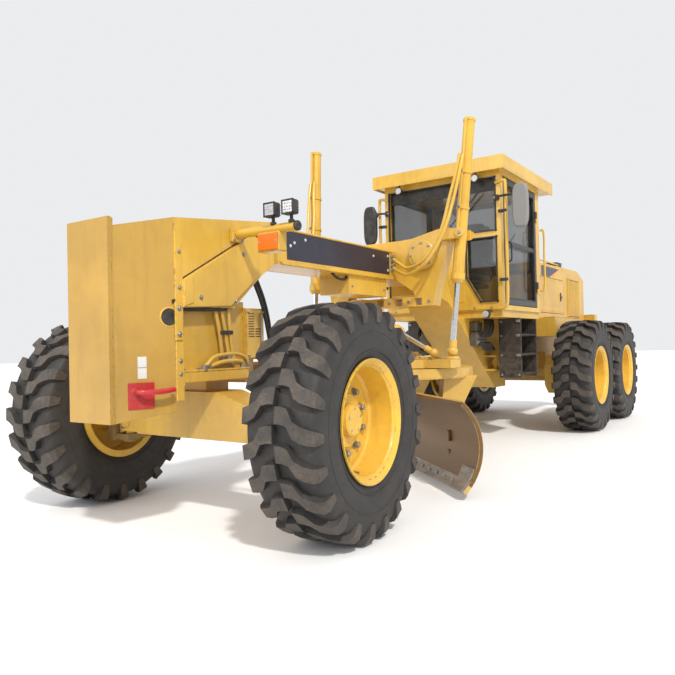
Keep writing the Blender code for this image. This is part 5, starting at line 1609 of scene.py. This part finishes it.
@dataclass
class Door:
    """Seals, handle, lock, plate and bar of a cab door."""

    side: Side
    x: float = 0.7
    front: float = 3.665
    rear: float = 4.715
    low: float = 1.5
    high: float = 2.86

    def build(self) -> None:
        """Builds the door's trim."""
        x = self.x - 0.004
        inset = 0.066
        rim = [(self.front + inset, self.low + inset), (self.rear - inset, self.low + inset),
               (self.rear - inset, self.high - inset), (self.front + inset, self.high - inset)]
        section = np.array([(-0.007, -0.01), (0.007, -0.01), (0.007, 0.01), (-0.007, 0.01)])
        ring = [fitted(x - 0.004, *p) for p in rim]
        seal = joined(*(swept([a, b], section) for a, b in zip(ring, ring[1:] + ring[:1])))
        bar = block((x - 0.012, x + 0.002), (along(self.front + 0.05), along(self.rear - 0.05)), (2.14, 2.19),
                0.004)
        handle = tube([fitted(x, 3.735, 1.96), fitted(x + 0.05, 3.74, 1.97), fitted(x + 0.055, 3.742, 2.06),
                fitted(x + 0.05, 3.74, 2.15), fitted(x, 3.735, 2.16)], 0.009, 12, 6)
        lock = disc(fitted(x + 0.004, 3.7, 1.92), (1, 0, 0), 0.018, 0.012, 0.004, 20)
        plate = block((x - 0.001, x + 0.006), (along(3.68), along(3.722)), (1.86, 2.2), 0.003)
        parts = [(seal, SEAL), (bar, BLACK), (handle, SEAL), (lock, STEEL), (plate, SEAL)]
        piece(f"door_trim_{self.side.word}", [(s.mirrored(self.side), f) for s, f in parts],
              f"door_{self.side.word}")


@dataclass
class Seat:
    """The operator's seat: crowned cushions in woven cloth, arm rests and the suspension's bellows."""

    floor: float = 1.4903
    y: float = 4.26

    def cushion(self, centre: Point, half: Point, lean: float, squareness: float = 0.42,
            channels: int = 4) -> Shape:
        """A crowned pad: a rounded box whose sides pull in, with sewn channels across its face.

        Args:
            centre: middle of the pad.
            half: half sizes.
            lean: turn about X, in radians.
            squareness: 1 is an ellipsoid, 0 a box.
            channels: number of sewn channels on its face.

        Returns:
            Points sign(c) |c|^e on each axis, with c the unit sphere's coordinates, less the channels' depth.
        """
        u = spread(-math.pi / 2, math.pi / 2, 40)[:, None]
        v = np.linspace(-math.pi, math.pi, 72, endpoint=False)[None]

        def power(a: Array, e: float) -> Array:
            """|a|^e with the sign of a."""
            return np.sign(a) * np.abs(a) ** e

        shape = np.stack((power(np.cos(u), squareness) * power(np.cos(v), squareness),
                power(np.cos(u), squareness) * power(np.sin(v), squareness),
                power(np.sin(u), 0.62) * np.ones_like(v)), -1)
        crown = 1 - 0.16 * (shape[..., 0] ** 2 + shape[..., 1] ** 2)
        face = np.clip(shape[..., 2], 0, 1)
        seams = np.abs(np.sin(shape[..., 1] * channels * math.pi / 2)) ** 0.35
        shape[..., 2] *= crown * (1 - 0.13 * face * (1 - seams))
        points = (shape * half).reshape(-1, 3)
        turn = Matrix.Rotation(lean, 4, "X")
        whole = Shape(points, (grid_faces(40, 72),))
        return whole.moved(turn).at(*centre)

    def build(self) -> None:
        y, z = along(self.y), self.floor
        base = self.cushion((0, y - 0.005, z + 0.365), (0.245, 0.235, 0.058), 0.03)
        back = self.cushion((0, y + 0.262, z + 0.69), (0.235, 0.345, 0.05), math.radians(84), channels=5)
        head = self.cushion((0, y + 0.285, z + 1.02), (0.12, 0.045, 0.042), math.radians(84), channels=1)
        for name, shape in (("seat_cushion", base), ("seat_back", back), ("head_rest", head)):
            thing = piece(name, [(shape, SEAT_CLOTH)], MAIN, smooth=60.0)
        folds = [(0.0, 0.12)] + [(0.012 + 0.018 * k, 0.155 if k % 2 else 0.12)
                for k in range(12)] + [(0.222, 0.12)]
        bellows = turned([(0, 0)] + folds + [(0.222, 0)], 4, (0, y, z + 0.03), (0, 0, 1))
        bellows = Shape((bellows.points - (0, y, 0)) * (1.1, 1.1, 1) + (0, y, 0), bellows.faces)
        plate = block((-0.17, 0.17), (y - 0.17, y + 0.17), (z, z + 0.032), 0.006)
        pan = block((-0.2, 0.2), (y - 0.19, y + 0.21), (z + 0.252, z + 0.305), 0.014)
        shell = block((-0.2, 0.2), (y + 0.3, y + 0.322), (z + 0.36, z + 0.98), 0.01)
        arms = [self.cushion((s * 0.275, y + 0.05, z + 0.545), (0.032, 0.155, 0.024), 0.0, channels=0)
                for s in (-1, 1)]
        stalks = [tube([(s * 0.2, y + 0.2, z + 0.34), (s * 0.265, y + 0.19, z + 0.42),
                (s * 0.272, y + 0.13, z + 0.525)], 0.013) for s in (-1, 1)]
        piece("seat_frame", [(bellows, HOSE), (plate, SEAL), (pan, SEAL), (shell, SEAL),
                (joined(*arms), SEAL), (joined(*stalks), SEAL)], MAIN, ["seat"])


@dataclass
class Controls:
    """The console's gauges and levers, and the steering wheel."""

    floor: float = 1.4903

    def build(self) -> None:
        """Builds the wheel and the levers, and replaces the plain console."""
        z = self.floor
        lean = Vector((0, 0.5, 0.86)).normalized()
        top = Vector(fitted(0, 3.86, z + 0.66))
        turn = Matrix.Translation(top) @ lean.to_track_quat("Z", "Y").to_matrix().to_4x4()
        angle = np.linspace(0, 2 * math.pi, 56, endpoint=False)
        small = np.linspace(0, 2 * math.pi, 12, endpoint=False)
        big = 0.177 + 0.013 * np.cos(small)[None, :]
        ring = np.stack((np.cos(angle)[:, None] * big, np.sin(angle)[:, None] * big,
                np.broadcast_to(0.013 * np.sin(small), (56, 12)) + 0.014), -1).reshape(-1, 3)
        wrap = grid_faces(57, 12) % (56 * 12)
        rim = Shape(ring, (wrap,))
        spokes = joined(*(tube([(0, 0, 0.012), (0.09 * math.cos(a), 0.09 * math.sin(a), 0.006),
                (0.172 * math.cos(a), 0.172 * math.sin(a), 0.014)],
                0.009) for a in (math.pi / 2, math.pi * 7 / 6, math.pi * 11 / 6)))
        boss = turned([(-0.02, 0), (-0.02, 0.03), (0.012, 0.04), (0.022, 0.034), (0.026, 0.0)], 28,
                (0, 0, 0), (0, 0, 1))
        knob = turned([(0.02, 0), (0.022, 0.014), (0.044, 0.022), (0.06, 0.016), (0.066, 0)], 20,
                (0.125, -0.125, 0), (0, 0, 1))
        post = tube([fitted(0, 3.73, z + 0.46), tuple(top)], 0.026, 16)
        console = panel([(3.665, z), (3.895, z), (3.835, z + 0.34), (3.8, z + 0.545), (3.682, z + 0.51)],
                fitted(-0.195, 0, 0), (0, 1, 0), (0, 0, 1), 0.39, 0.014)
        dash = block((-0.15, 0.15), (-0.045, 0.045), (0, 0.01), 0.004).moved(
            Matrix.Translation(fitted(0, 3.742, z + 0.525)) @ Matrix.Rotation(0.29, 4, "X"))
        dials = joined(*(disc((x, 0, 0.01), (0, 0, 1), 0.026, 0.008, 0.003, 26)
                for x in (-0.1, -0.035, 0.035, 0.1))).moved(
            Matrix.Translation(fitted(0, 3.742, z + 0.525)) @ Matrix.Rotation(0.29, 4, "X"))
        levers, grips = [], []
        for s in (-1, 1):
            for k in range(4):
                x, y0 = s * (0.075 + 0.032 * k), 3.815
                levers.append(tube([fitted(x, y0 - 0.03, z + 0.46), fitted(x, y0 + 0.02, z + 0.56),
                        fitted(x, y0 + 0.035, z + 0.66)], 0.005, 8))
                grips.append(turned([(0, 0), (0, 0.008), (0.012, 0.013), (0.04, 0.011), (0.048, 0)], 16,
                        fitted(x, y0 + 0.035, z + 0.655), (0, 0.12, 1)))
        parts = [(rim.moved(turn), SEAL), (spokes.moved(turn), SEAL), (boss.moved(turn), SEAL),
                (knob.moved(turn), SEAL), (post, SEAL),
                (console, GREY), (dash, SEAL), (dials, LENS), (joined(*levers), STEEL), (joined(*grips),
                SEAL)]
        piece("steering_controls", parts, MAIN, ["steering_console"])


@dataclass
class Mirror:
    """A mirror with a rounded housing, glass and a bent tube arm."""

    side: Side

    def build(self) -> None:
        """Builds the mirror in place of the plain one."""
        x0 = 0.86 if self.side is Side.LEFT else 0.765
        x = x0 + 0.085
        y = 3.5075
        angle = np.linspace(0, 2 * math.pi, 40, endpoint=False)
        c, s = np.cos(angle), np.sin(angle)
        outline = np.stack((0.085 * np.sign(c) * np.abs(c) ** 0.55,
                2.49 + 0.225 * np.sign(s) * np.abs(s) ** 0.55), 1)
        case = panel([tuple(p) for p in outline], fitted(x, y - 0.012, 0), (1, 0, 0), (0, 0, 1), 0.034, 0.016)
        back = outline * (0.9, 1.0)
        back[:, 1] = 2.49 + (back[:, 1] - 2.49) * 0.93
        glass = panel([tuple(p) for p in back], fitted(x, y + 0.0125, 0), (-1, 0, 0), (0, 0, 1), 0.0015,
                0.0005)
        body = panel([tuple(p) for p in back * (1.04, 1.0)], fitted(x, y + 0.012, 0), (1, 0, 0), (0, 0, 1),
                0.024, 0.004)
        arm = tube([fitted(0.655, 3.556, 2.62), fitted(0.72, 3.535, 2.625), fitted(x0 - 0.02, 3.512, 2.62),
                fitted(x0 + 0.02, 3.5, 2.6)], 0.012, 12, 6)
        foot = block((0.63, 0.69), (along(3.55), along(3.5795)), (2.59, 2.65), 0.006)
        clamp = block((x0 - 0.008, x0 + 0.03), (along(3.488), along(3.527)), (2.585, 2.64), 0.008)
        # Painted light: the left case is grey where the sun falls on it; the right one is black.
        case_finish_with_painted_light = GREY if self.side is Side.LEFT else SEAL
        parts = [(case, case_finish_with_painted_light), (body, SEAL), (glass, REFLECTOR), (arm, SEAL), (foot, SEAL),
                (clamp, SEAL),
                (bolts([fitted(0.645, 3.55, 2.62), fitted(0.675, 3.55, 2.62)], (0, -1, 0), 0.008), STEEL)]
        piece(f"mirror_head_{self.side.word}", [(q.mirrored(self.side), f) for q, f in parts], MAIN,
              [f"mirror_{self.side.word}"])


@dataclass
class Ladder:
    """A step ladder under a cab door: black cheeks, grip treads and bolts."""

    side: Side
    cheeks: tuple[float, float] = (4.09, 4.61)
    treads: tuple[float, ...] = (0.72, 0.94, 1.16)
    low: float = 0.695
    high: float = 1.3645

    def build(self) -> None:
        """Builds the ladder in place of the plain one."""
        cheeks = joined(*(block((0.45, 0.71), (along(y), along(y + 0.02)), (self.low, self.high), 0.004)
                for y in self.cheeks))
        treads, teeth = [], []
        for z in self.treads:
            treads.append(block((0.452, 0.705), (along(4.108), along(4.612)), (z, z + 0.022), 0.004))
            treads.append(block((0.452, 0.463), (along(4.108), along(4.612)), (z, z + 0.15), 0.003))
            teeth.append(block((0.655, 0.7), (-0.01, 0.01), (z + 0.02, z + 0.03), 0.003).repeated(
                np.array([(0, along(y), 0) for y in spread(4.14, 4.58, 12)])))
        fronts = bolts([fitted(x, 4.09, z) for x in (0.48, 0.68) for z in (0.73, 0.95, 1.17, 1.33)],
                (0, -1, 0), 0.01)
        latches = joined(*(block((0.655, 0.7), (along(4.076), along(4.09)), (z - 0.012, z + 0.016), 0.004)
                for z in (0.95, 1.17, 1.33)))
        parts = [(cheeks, BLACK), (joined(*treads), BLACK), (joined(*teeth), BLACK), (fronts, STEEL),
                (latches, STEEL)]
        piece(f"steps_{self.side.word}", [(q.mirrored(self.side), f) for q, f in parts], MAIN,
              [f"ladder_{self.side.word}"])


# ---------------------------------------------------------------- rear of the machine


@dataclass
class Hood:
    """The rear hood's marks, louvres, seams, rails, exhaust and lamps."""

    half: float = 0.5
    front: float = 5.11
    rear: float = 7.62
    high: float = 2.15
    louvre: tuple[float, float, float, float] = (6.72, 7.32, 1.44, 2.0)
    rail_x: float = 0.4
    rail_ends: tuple[float, float] = (5.62, 6.59)
    lamp_x: float = 0.46
    door: tuple[float, float, float, float] = (5.42, 6.52, 1.48, 1.95)

    def mark(self, outline: Sequence[tuple[float, float]], side: Side, lift: float,
            thick: float = 0.0015) -> Shape:
        """A thin painted mark on the hood's side.

        Args:
            outline: (y, z) corners, y behind the front axle.
            side: which side of the hood.
            lift: how far it stands off the side.
            thick: its thickness.

        Returns:
            The closed plate.
        """
        return side_panel([(y, z) for y, z in outline], self.half + lift, side, thick, 0.0003)

    def marks(self) -> None:
        """The blank dark wedge and its red stripe on each side, and a blank yellow plate, bars, latch and
        pull on each engine door.
        """
        for side in Side:
            wedge = self.mark([(5.533, 2.1), (6.29, 2.1), (5.84, 1.965), (5.533, 1.965)], side, 0.0006)
            stripe = self.mark([(6.29, 2.1), (6.33, 2.1), (5.885, 1.965), (5.845, 1.965)], side, 0.0006)
            piece(f"hood_mark_{side.word}", [(wedge, NAVY), (stripe, RED)], REAR)
            y0, y1, z0, z1 = self.door
            plate = self.mark([(5.6, z0 + 0.1), (6.34, z0 + 0.1), (6.34, z1 - 0.08), (5.6, z1 - 0.08)],
                    side, 0.0004)
            frame_bars = joined(*(self.mark(b, side, 0.001) for b in (
                [(y0 + 0.02, z0 + 0.02), (y1 - 0.02, z0 + 0.02), (y1 - 0.02, z0 + 0.028),
                 (y0 + 0.02, z0 + 0.028)],
                [(y0 + 0.02, z1 - 0.028), (y1 - 0.02, z1 - 0.028), (y1 - 0.02, z1 - 0.02),
                 (y0 + 0.02, z1 - 0.02)])))
            latch = disc((side.value * (self.half + 0.001), along(y1 - 0.1), (z0 + z1) / 2),
                    (side.value, 0, 0), 0.022, 0.012, 0.004, 22)
            pull = block((side.value * (self.half + 0.006) - 0.005, side.value * (self.half + 0.006) + 0.005),
                    (along(y1 - 0.17), along(y1 - 0.14)), ((z0 + z1) / 2 - 0.06, (z0 + z1) / 2 + 0.06), 0.003)
            piece(f"engine_door_trim_{side.word}",
                  [(plate, YELLOW), (frame_bars, YELLOW), (latch, STEEL), (pull, SEAL)],
                  f"engine_door_{side.word}")

    def louvres(self) -> None:
        """Vertical cooling louvres on both sides, with their frames, and the radiator grille behind."""
        front, rear, low, high = self.louvre
        for side in Side:
            x = side.value * (self.half - 0.002)
            # Painted shade: a black sheet behind the slats stands for the dark openings between them.
            louvre_gap_shade = block((min(x, x + side.value * 0.004), max(x, x + side.value * 0.004)),
                    (along(front), along(rear)), (low, high), 0.001)
            slats = block((-0.008, 0.008), (-0.01, 0.01), (low + 0.015, high - 0.015), 0.004).repeated(
                np.array([(side.value * (self.half + 0.007), along(y), 0)
                    for y in spread(front + 0.025, rear - 0.025, 17)]))
            edge = [block((side.value * (self.half + 0.005) - 0.009,
                    side.value * (self.half + 0.005) + 0.009), ys, zs, 0.003)
                    for ys, zs in (((along(6.715), along(6.73)), (1.435, 2.005)),
                    ((along(7.31), along(7.325)), (1.435, 2.005)), ((along(6.715), along(7.325)),
                    (1.432, 1.447)), ((along(6.715), along(7.325)), (1.993, 2.008)))]
            piece(f"louvre_{side.word}", [(louvre_gap_shade, SEAL), (slats, YELLOW), (joined(*edge), YELLOW)], REAR)
        back = along(self.rear)
        net = block((-0.4, 0.4), (back - 0.001, back + 0.003), (1.48, 2.06), 0.001)
        bars = block((-0.4, 0.4), (-0.006, 0.006), (-0.007, 0.007), 0.003).repeated(
            np.array([(0, back + 0.008, z) for z in spread(1.49, 2.05, 20)]))
        posts = joined(*(block((x - 0.012, x + 0.012), (back, back + 0.017), (1.47, 2.07), 0.003)
                for x in (-0.41, -0.135, 0.135, 0.41)))
        piece("grille", [(net, SEAL), (bars, BLACK), (posts, BLACK)], REAR)

    def top(self) -> None:
        """Grab rails, the exhaust's cap and its seat, filler, seams, grit and rear lamps."""
        rails = []
        for side in Side:
            x = side.value * self.rail_x
            rails.append(tube([fitted(x, 5.62, self.high), fitted(x, 5.63, self.high + 0.042),
                    fitted(x, 5.7, self.high + 0.05), fitted(x, 6.5, self.high + 0.05), fitted(x, 6.58,
                    self.high + 0.042), fitted(x, 6.59, self.high)], 0.011, 12, 6))
        feet = bolts([fitted(s * self.rail_x, y, self.high) for s in (-1, 1) for y in self.rail_ends],
                (0, 0, 1), 0.02)
        seams = joined(*(block((-self.half + 0.015, self.half - 0.015), (along(y) - 0.004, along(y) + 0.004),
                (self.high - 0.001, self.high + 0.002), 0.001) for y in (5.36, 6.64)))
        cap = block((0.052, 0.308), (along(6.922), along(7.178)), (2.272, 2.2795), 0.003)
        seat = block((0.045, 0.315), (along(6.915), along(7.185)), (self.high - 0.001, self.high + 0.01),
                0.004)
        filler = turned([(0, 0), (0.0, 0.042), (0.03, 0.042), (0.036, 0.036), (0.036, 0)], 28,
                fitted(-0.2, 5.95, self.high), (0, 0, 1))
        grit = block((-0.33, 0.33), (along(5.68), along(6.52)), (self.high - 0.0005, self.high + 0.0015),
                0.0005)
        piece("hood_top", [(joined(*rails), YELLOW), (feet, STEEL), (seams, SEAL), (cap, BLACK),
                (seat, YELLOW), (filler, BLACK), (grit, SEAL)], REAR)
        lamps = []
        back = along(self.rear)
        for x in (-self.lamp_x, self.lamp_x):
            for half, inner, outer, low, high, bevel, finish in (
                    (0.028, 0.001, 0.022, 1.62, 1.74, 0.006, LAMP_RED), (0.028, 0.001, 0.02, 1.75, 1.8,
                    0.006, AMBER), (0.034, 0.002, 0.008, 1.61, 1.81, 0.004, SEAL)):
                lamps.append((block((x - half, x + half), (back - inner, back + outer), (low, high), bevel),
                        finish))
        piece("rear_lamps", lamps, REAR)

    def build(self) -> None:
        """Builds the hood's looks."""
        self.marks()
        self.louvres()
        self.top()


@dataclass
class RearFrame:
    """Side boxes' lids, deck grips, the bumper's top and the tandem cases' covers."""

    def boxes(self) -> None:
        """The side boxes' lids and knobs, and grips on the deck."""
        for side in Side:
            sign = side.value
            lid = side_panel([(5.3, 1.19), (5.52, 1.19), (5.52, 1.37), (5.3, 1.37)], 0.7405, side, 0.003,
                    0.001)
            grips = joined(*(block((sign * 0.65 - 0.07, sign * 0.65 + 0.07),
                    (along(y) - 0.008, along(y) + 0.008), (1.399, 1.406), 0.002)
                    for y in spread(5.32, 5.94, 12)))
            knob = disc((sign * 0.742, along(5.5), 1.28), (sign, 0, 0), 0.014, 0.01, 0.003, 18)
            piece(f"side_box_trim_{side.word}", [(lid, YELLOW), (grips, BLACK), (knob, SEAL)], REAR)

    def tandems(self) -> None:
        """Cover plates, bolts, top plates and oil plugs of the tandem cases."""
        for side in Side:
            sign = side.value
            parts = []
            inner = sign * 0.6465
            cover = disc((inner, along(6.086), 0.69), (-sign, 0, 0), 0.15, 0.004, 0.002, 40)
            rows = [(inner - sign * 0.003, along(6.086) + 0.125 * math.cos(a), 0.69 + 0.125 * math.sin(a))
                    for a in np.linspace(0, 2 * math.pi, 12, endpoint=False)]
            parts.append((cover, BLACK))
            parts.append((bolts(rows, (-sign, 0, 0), 0.01), STEEL))
            tops = joined(*(block((sign * 0.742 - 0.06, sign * 0.742 + 0.06),
                    (along(y) - 0.09, along(y) + 0.09), (0.9195, 0.927), 0.003) for y in (5.5, 6.67)))
            plug = bolts([(sign * 0.742, along(y), 0.926) for y in (5.5, 6.67)], (0, 0, 1), 0.014)
            parts += [(tops, YELLOW), (plug, STEEL)]
            piece(f"tandem_trim_{side.word}", parts, REAR)

    def bumper(self) -> None:
        """A black strip on the bumper's top, painted shade of a recess, and bolts."""
        back, top = along(8.015), 1.5
        # Painted shade: the black strip stands for a dark recess along the bumper's top.
        strip = block((-0.56, 0.56), (back - 0.05, back - 0.012), (top - 0.001, top + 0.01), 0.003)
        heads = bolts([(x, back - 0.12, top) for x in spread(-0.54, 0.54, 6)], (0, 0, 1), 0.01)
        piece("bumper_trim", [(strip, SEAL), (heads, STEEL)], REAR)

    def build(self) -> None:
        """Builds the rear frame's trim."""
        self.boxes()
        self.tandems()
        self.bumper()


@dataclass
class Underfloor:
    """Valves, fittings and hoses under the cab, fixed at both ends."""

    def build(self) -> None:
        """Builds the cluster on both sides of the front frame, under the cab's front."""
        for side in Side:
            sign = side.value
            blocks = [block((sign * 0.3 - 0.045, sign * 0.3 + 0.045), (along(3.72), along(4.02)),
                    (1.06, 1.22), 0.012),
                    block((sign * 0.29 - 0.04, sign * 0.29 + 0.04), (along(3.74), along(3.92)),
                    (1.22, 1.33), 0.01)]
            ports = bolts([(sign * 0.345, along(y), z) for y in spread(3.75, 3.99, 6) for z in (1.1, 1.17)],
                    (sign, 0, 0), 0.016, 0.014)
            hoses = []
            for k, y in enumerate(spread(3.75, 3.99, 6)):
                hoses.append(tube([(sign * 0.35, along(y), 1.17), (sign * 0.395, along(y + 0.01), 1.18),
                        (sign * (0.4 + 0.006 * (k % 2)), along(y + 0.06), 1.27),
                        (sign * 0.36, along(y + 0.16), 1.36), (sign * 0.33, along(y + 0.2),
                        1.436)], 0.011, 10, 7))
                hoses.append(tube([(sign * 0.35, along(y), 1.1), (sign * 0.392, along(y - 0.01), 1.085),
                        (sign * 0.385, along(y + 0.08), 1.02),
                        (sign * 0.33, along(4.16 + 0.02 * k), 1.02), (sign * 0.262,
                        along(4.22 + 0.02 * k), 1.08)], 0.01, 10, 7))
            piece(f"valves_{side.word}", [(joined(*blocks), ENGINE_IRON), (ports, STEEL),
                    (joined(*hoses), HOSE)], MAIN)


# ---------------------------------------------------------------- stage


@dataclass
class Studio:
    """The camera, the pale floor and the light."""

    eye: Point = (3.1982, -6.6574, 1.1012)
    yaw: float = 0.6051
    pitch: float = 0.012
    roll: float = -0.0214
    lens: float = 35.17
    sun_way: Point = (-0.62, 0.5, -0.8)
    sun_power: float = 2.6
    sky_power: float = 0.86
    floor_reach: float = 60.0

    def camera(self) -> None:
        """Sets the camera by its yaw from +Y towards -X, its pitch above the horizon and its roll."""
        way = Vector((-math.sin(self.yaw) * math.cos(self.pitch), math.cos(self.yaw) * math.cos(self.pitch),
                math.sin(self.pitch)))
        right = way.cross(Vector((0, 0, 1))).normalized()
        up = right.cross(way)
        right, up = (right * math.cos(self.roll) + up * math.sin(self.roll),
                up * math.cos(self.roll) - right * math.sin(self.roll))
        data = bpy.data.cameras.new("camera")
        data.lens, data.clip_end = self.lens, 200.0
        thing = bpy.data.objects.new("camera", data)
        turn = Matrix((right, up, -way)).transposed().to_4x4()
        thing.matrix_world = Matrix.Translation(self.eye) @ turn
        bpy.context.scene.collection.objects.link(thing)
        bpy.context.scene.camera = thing
        bpy.context.scene.view_settings.view_transform = "Standard"

    def floor(self) -> None:
        """A floor of white paper with a faint grain."""
        r = self.floor_reach
        mesh = bpy.data.meshes.new("floor")
        mesh.from_pydata([(-r, -r, 0), (r, -r, 0), (r, r, 0), (-r, r, 0)], [], [(0, 1, 2, 3)])
        nodes = Nodes("floor_paper")
        shade = nodes.mix(nodes.ramp(nodes.noise(0.8), 0.3, 0.7), (0.86, 0.86, 0.87), (0.9, 0.9, 0.9))
        mesh.materials.append(nodes.finish(shade, 0.75))
        thing = bpy.data.objects.new("floor", mesh)
        thing.location.z = -0.001
        bpy.context.scene.collection.objects.link(thing)

    def light(self) -> None:
        """A low-contrast sky, one soft sun from the left and a wide fill from the front."""
        world = bpy.data.worlds.new("studio")
        world.use_nodes = True
        back = world.node_tree.nodes["Background"]
        back.inputs["Color"].default_value = (0.97, 0.98, 1.0, 1.0)
        back.inputs["Strength"].default_value = self.sky_power
        bpy.context.scene.world = world
        sun = bpy.data.lights.new("sun", "SUN")
        sun.energy, sun.angle = self.sun_power, math.radians(4.0)
        sun.color = (1.0, 0.965, 0.9)
        lamp = bpy.data.objects.new("sun", sun)
        lamp.rotation_euler = Vector(self.sun_way).to_track_quat("-Z", "Y").to_euler()
        bpy.context.scene.collection.objects.link(lamp)
        soft = bpy.data.lights.new("fill", "AREA")
        soft.energy, soft.size = 260.0, 6.0
        fill = bpy.data.objects.new("fill", soft)
        fill.location = (-2.0, -11.0, 5.0)
        fill.rotation_euler = Vector((0.1, 0.85, -0.42)).to_track_quat("-Z", "Y").to_euler()
        bpy.context.scene.collection.objects.link(fill)

    def build(self) -> None:
        """Builds the camera, the floor and the light."""
        self.camera()
        self.floor()
        self.light()


def jacks() -> list[Jack]:
    """The machine's cylinders, by the ends of their barrels and rods."""
    made = []
    for side in Side:
        s = side.value
        top, base, low = (s * 0.855, -1.115, 3.11), (s * 0.8, -1.235, 2.06), 1.03
        way = (Vector(base) - Vector(top)).normalized()
        mouth, eye = (Vector(base) + way * ((base[2] - z) / -way.z) for z in (1.64, low))
        made.append(Jack(f"lift_{side.word}", top, tuple(mouth), tuple(eye), 0.052))
        x, z = s * 0.345, 0.86
        made.append(Jack(f"hitch_{side.word}", (x, along(4.25), z), (x, along(4.25 + 0.62 * 1.13), z),
                (x, along(5.38), z), 0.045, (0.6,), True, (0, 0, -1)))
    y = JOINTS["centre_shift_barrel"]["pos_m"][1]
    start, end = Vector((-0.2, y, 1.485)), Vector((0.62, y, 1.02))
    made.append(Jack("centre_shift", tuple(start), tuple(start.lerp(end, 0.62)), tuple(end), 0.042, (0.55,)))
    return made


def sub_assemblies() -> list:
    """Every sub-assembly of the machine, in the order that they are built."""
    return [*(Wheel(row, side) for row in Row for side in Side), Nose(), NoseHydraulics(),
            *(LampArm(side) for side in Side),
            AxleTrim(), Beam(), SaddleTrim(), *jacks(), CylinderHoses(), Blade(), Cab(), Seat(), Controls(),
            *(kind(side) for side in Side for kind in (Door, Mirror,
            Ladder)), Hood(), RearFrame(), Underfloor()]


# ---------------------------------------------------------------- the whole machine

# push_block takes the darker copy of the yellow enamel, painted shade on the front plate.
NODE_FINISHES: dict[str, Finish] = {
    "cab": CAB_YELLOW, "push_block": PAINTED_SHADE_YELLOW, "windscreen": TINTED, "rear_window": TINTED,
    "door_glass_left": TINTED, "door_glass_right": TINTED, "door_left": BLACK, "door_right": BLACK,
    "ladder_left": BLACK, "ladder_right": BLACK, "mirror_left": BLACK, "mirror_right": BLACK,
    "steering_console": SEAL, "seat": SEAT_CLOTH, "engine": ENGINE_IRON, "exhaust": BLACK,
    # The knuckles and the drawbar ball take the casting yellow's painted shade.
    "blade": BLADE_STEEL, "knuckle_left": SHADED_CASTING_YELLOW, "knuckle_right": SHADED_CASTING_YELLOW, "drawbar_ball": SHADED_CASTING_YELLOW,
    "lift_left_rod": CHROME, "lift_right_rod": CHROME, "centre_shift_rod": CHROME,
    "hitch_left_rod": CHROME, "hitch_right_rod": CHROME, }
SOFT_EDGE = 0.0035


def dress_nodes(nodes: dict[str, bpy.types.Object]) -> None:
    """Gives each CAD node its finish and, on painted plate, a small rounded edge.

    Args:
        nodes: the frame's CAD nodes by name.
    """
    for name, thing in nodes.items():
        finish = NODE_FINISHES.get(name, YELLOW)
        thing.data.materials.clear()
        thing.data.materials.append(finish.material())
        if isinstance(finish, (Paint, Plastic)):
            weld = thing.modifiers.new("weld", "WELD")
            weld.merge_threshold = 0.00005
            round_off = thing.modifiers.new("edge", "BEVEL")
            round_off.width, round_off.segments = SOFT_EDGE, 2
            round_off.limit_method, round_off.angle_limit = "ANGLE", math.radians(40)
            round_off.use_clamp_overlap = True


def main() -> None:
    """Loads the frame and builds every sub-assembly."""
    logging.basicConfig(level=logging.INFO, format="%(name)s: %(message)s")
    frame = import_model()
    JOINTS.update({joint["child"]: joint for joint in frame["joints"]})
    Studio().build()
    dress_nodes(frame["nodes"])
    assemblies = sub_assemblies()
    for assembly in assemblies:
        assembly.build()
        LOG.info("built %s", type(assembly).__name__)


if __name__ == "__main__":
    main()
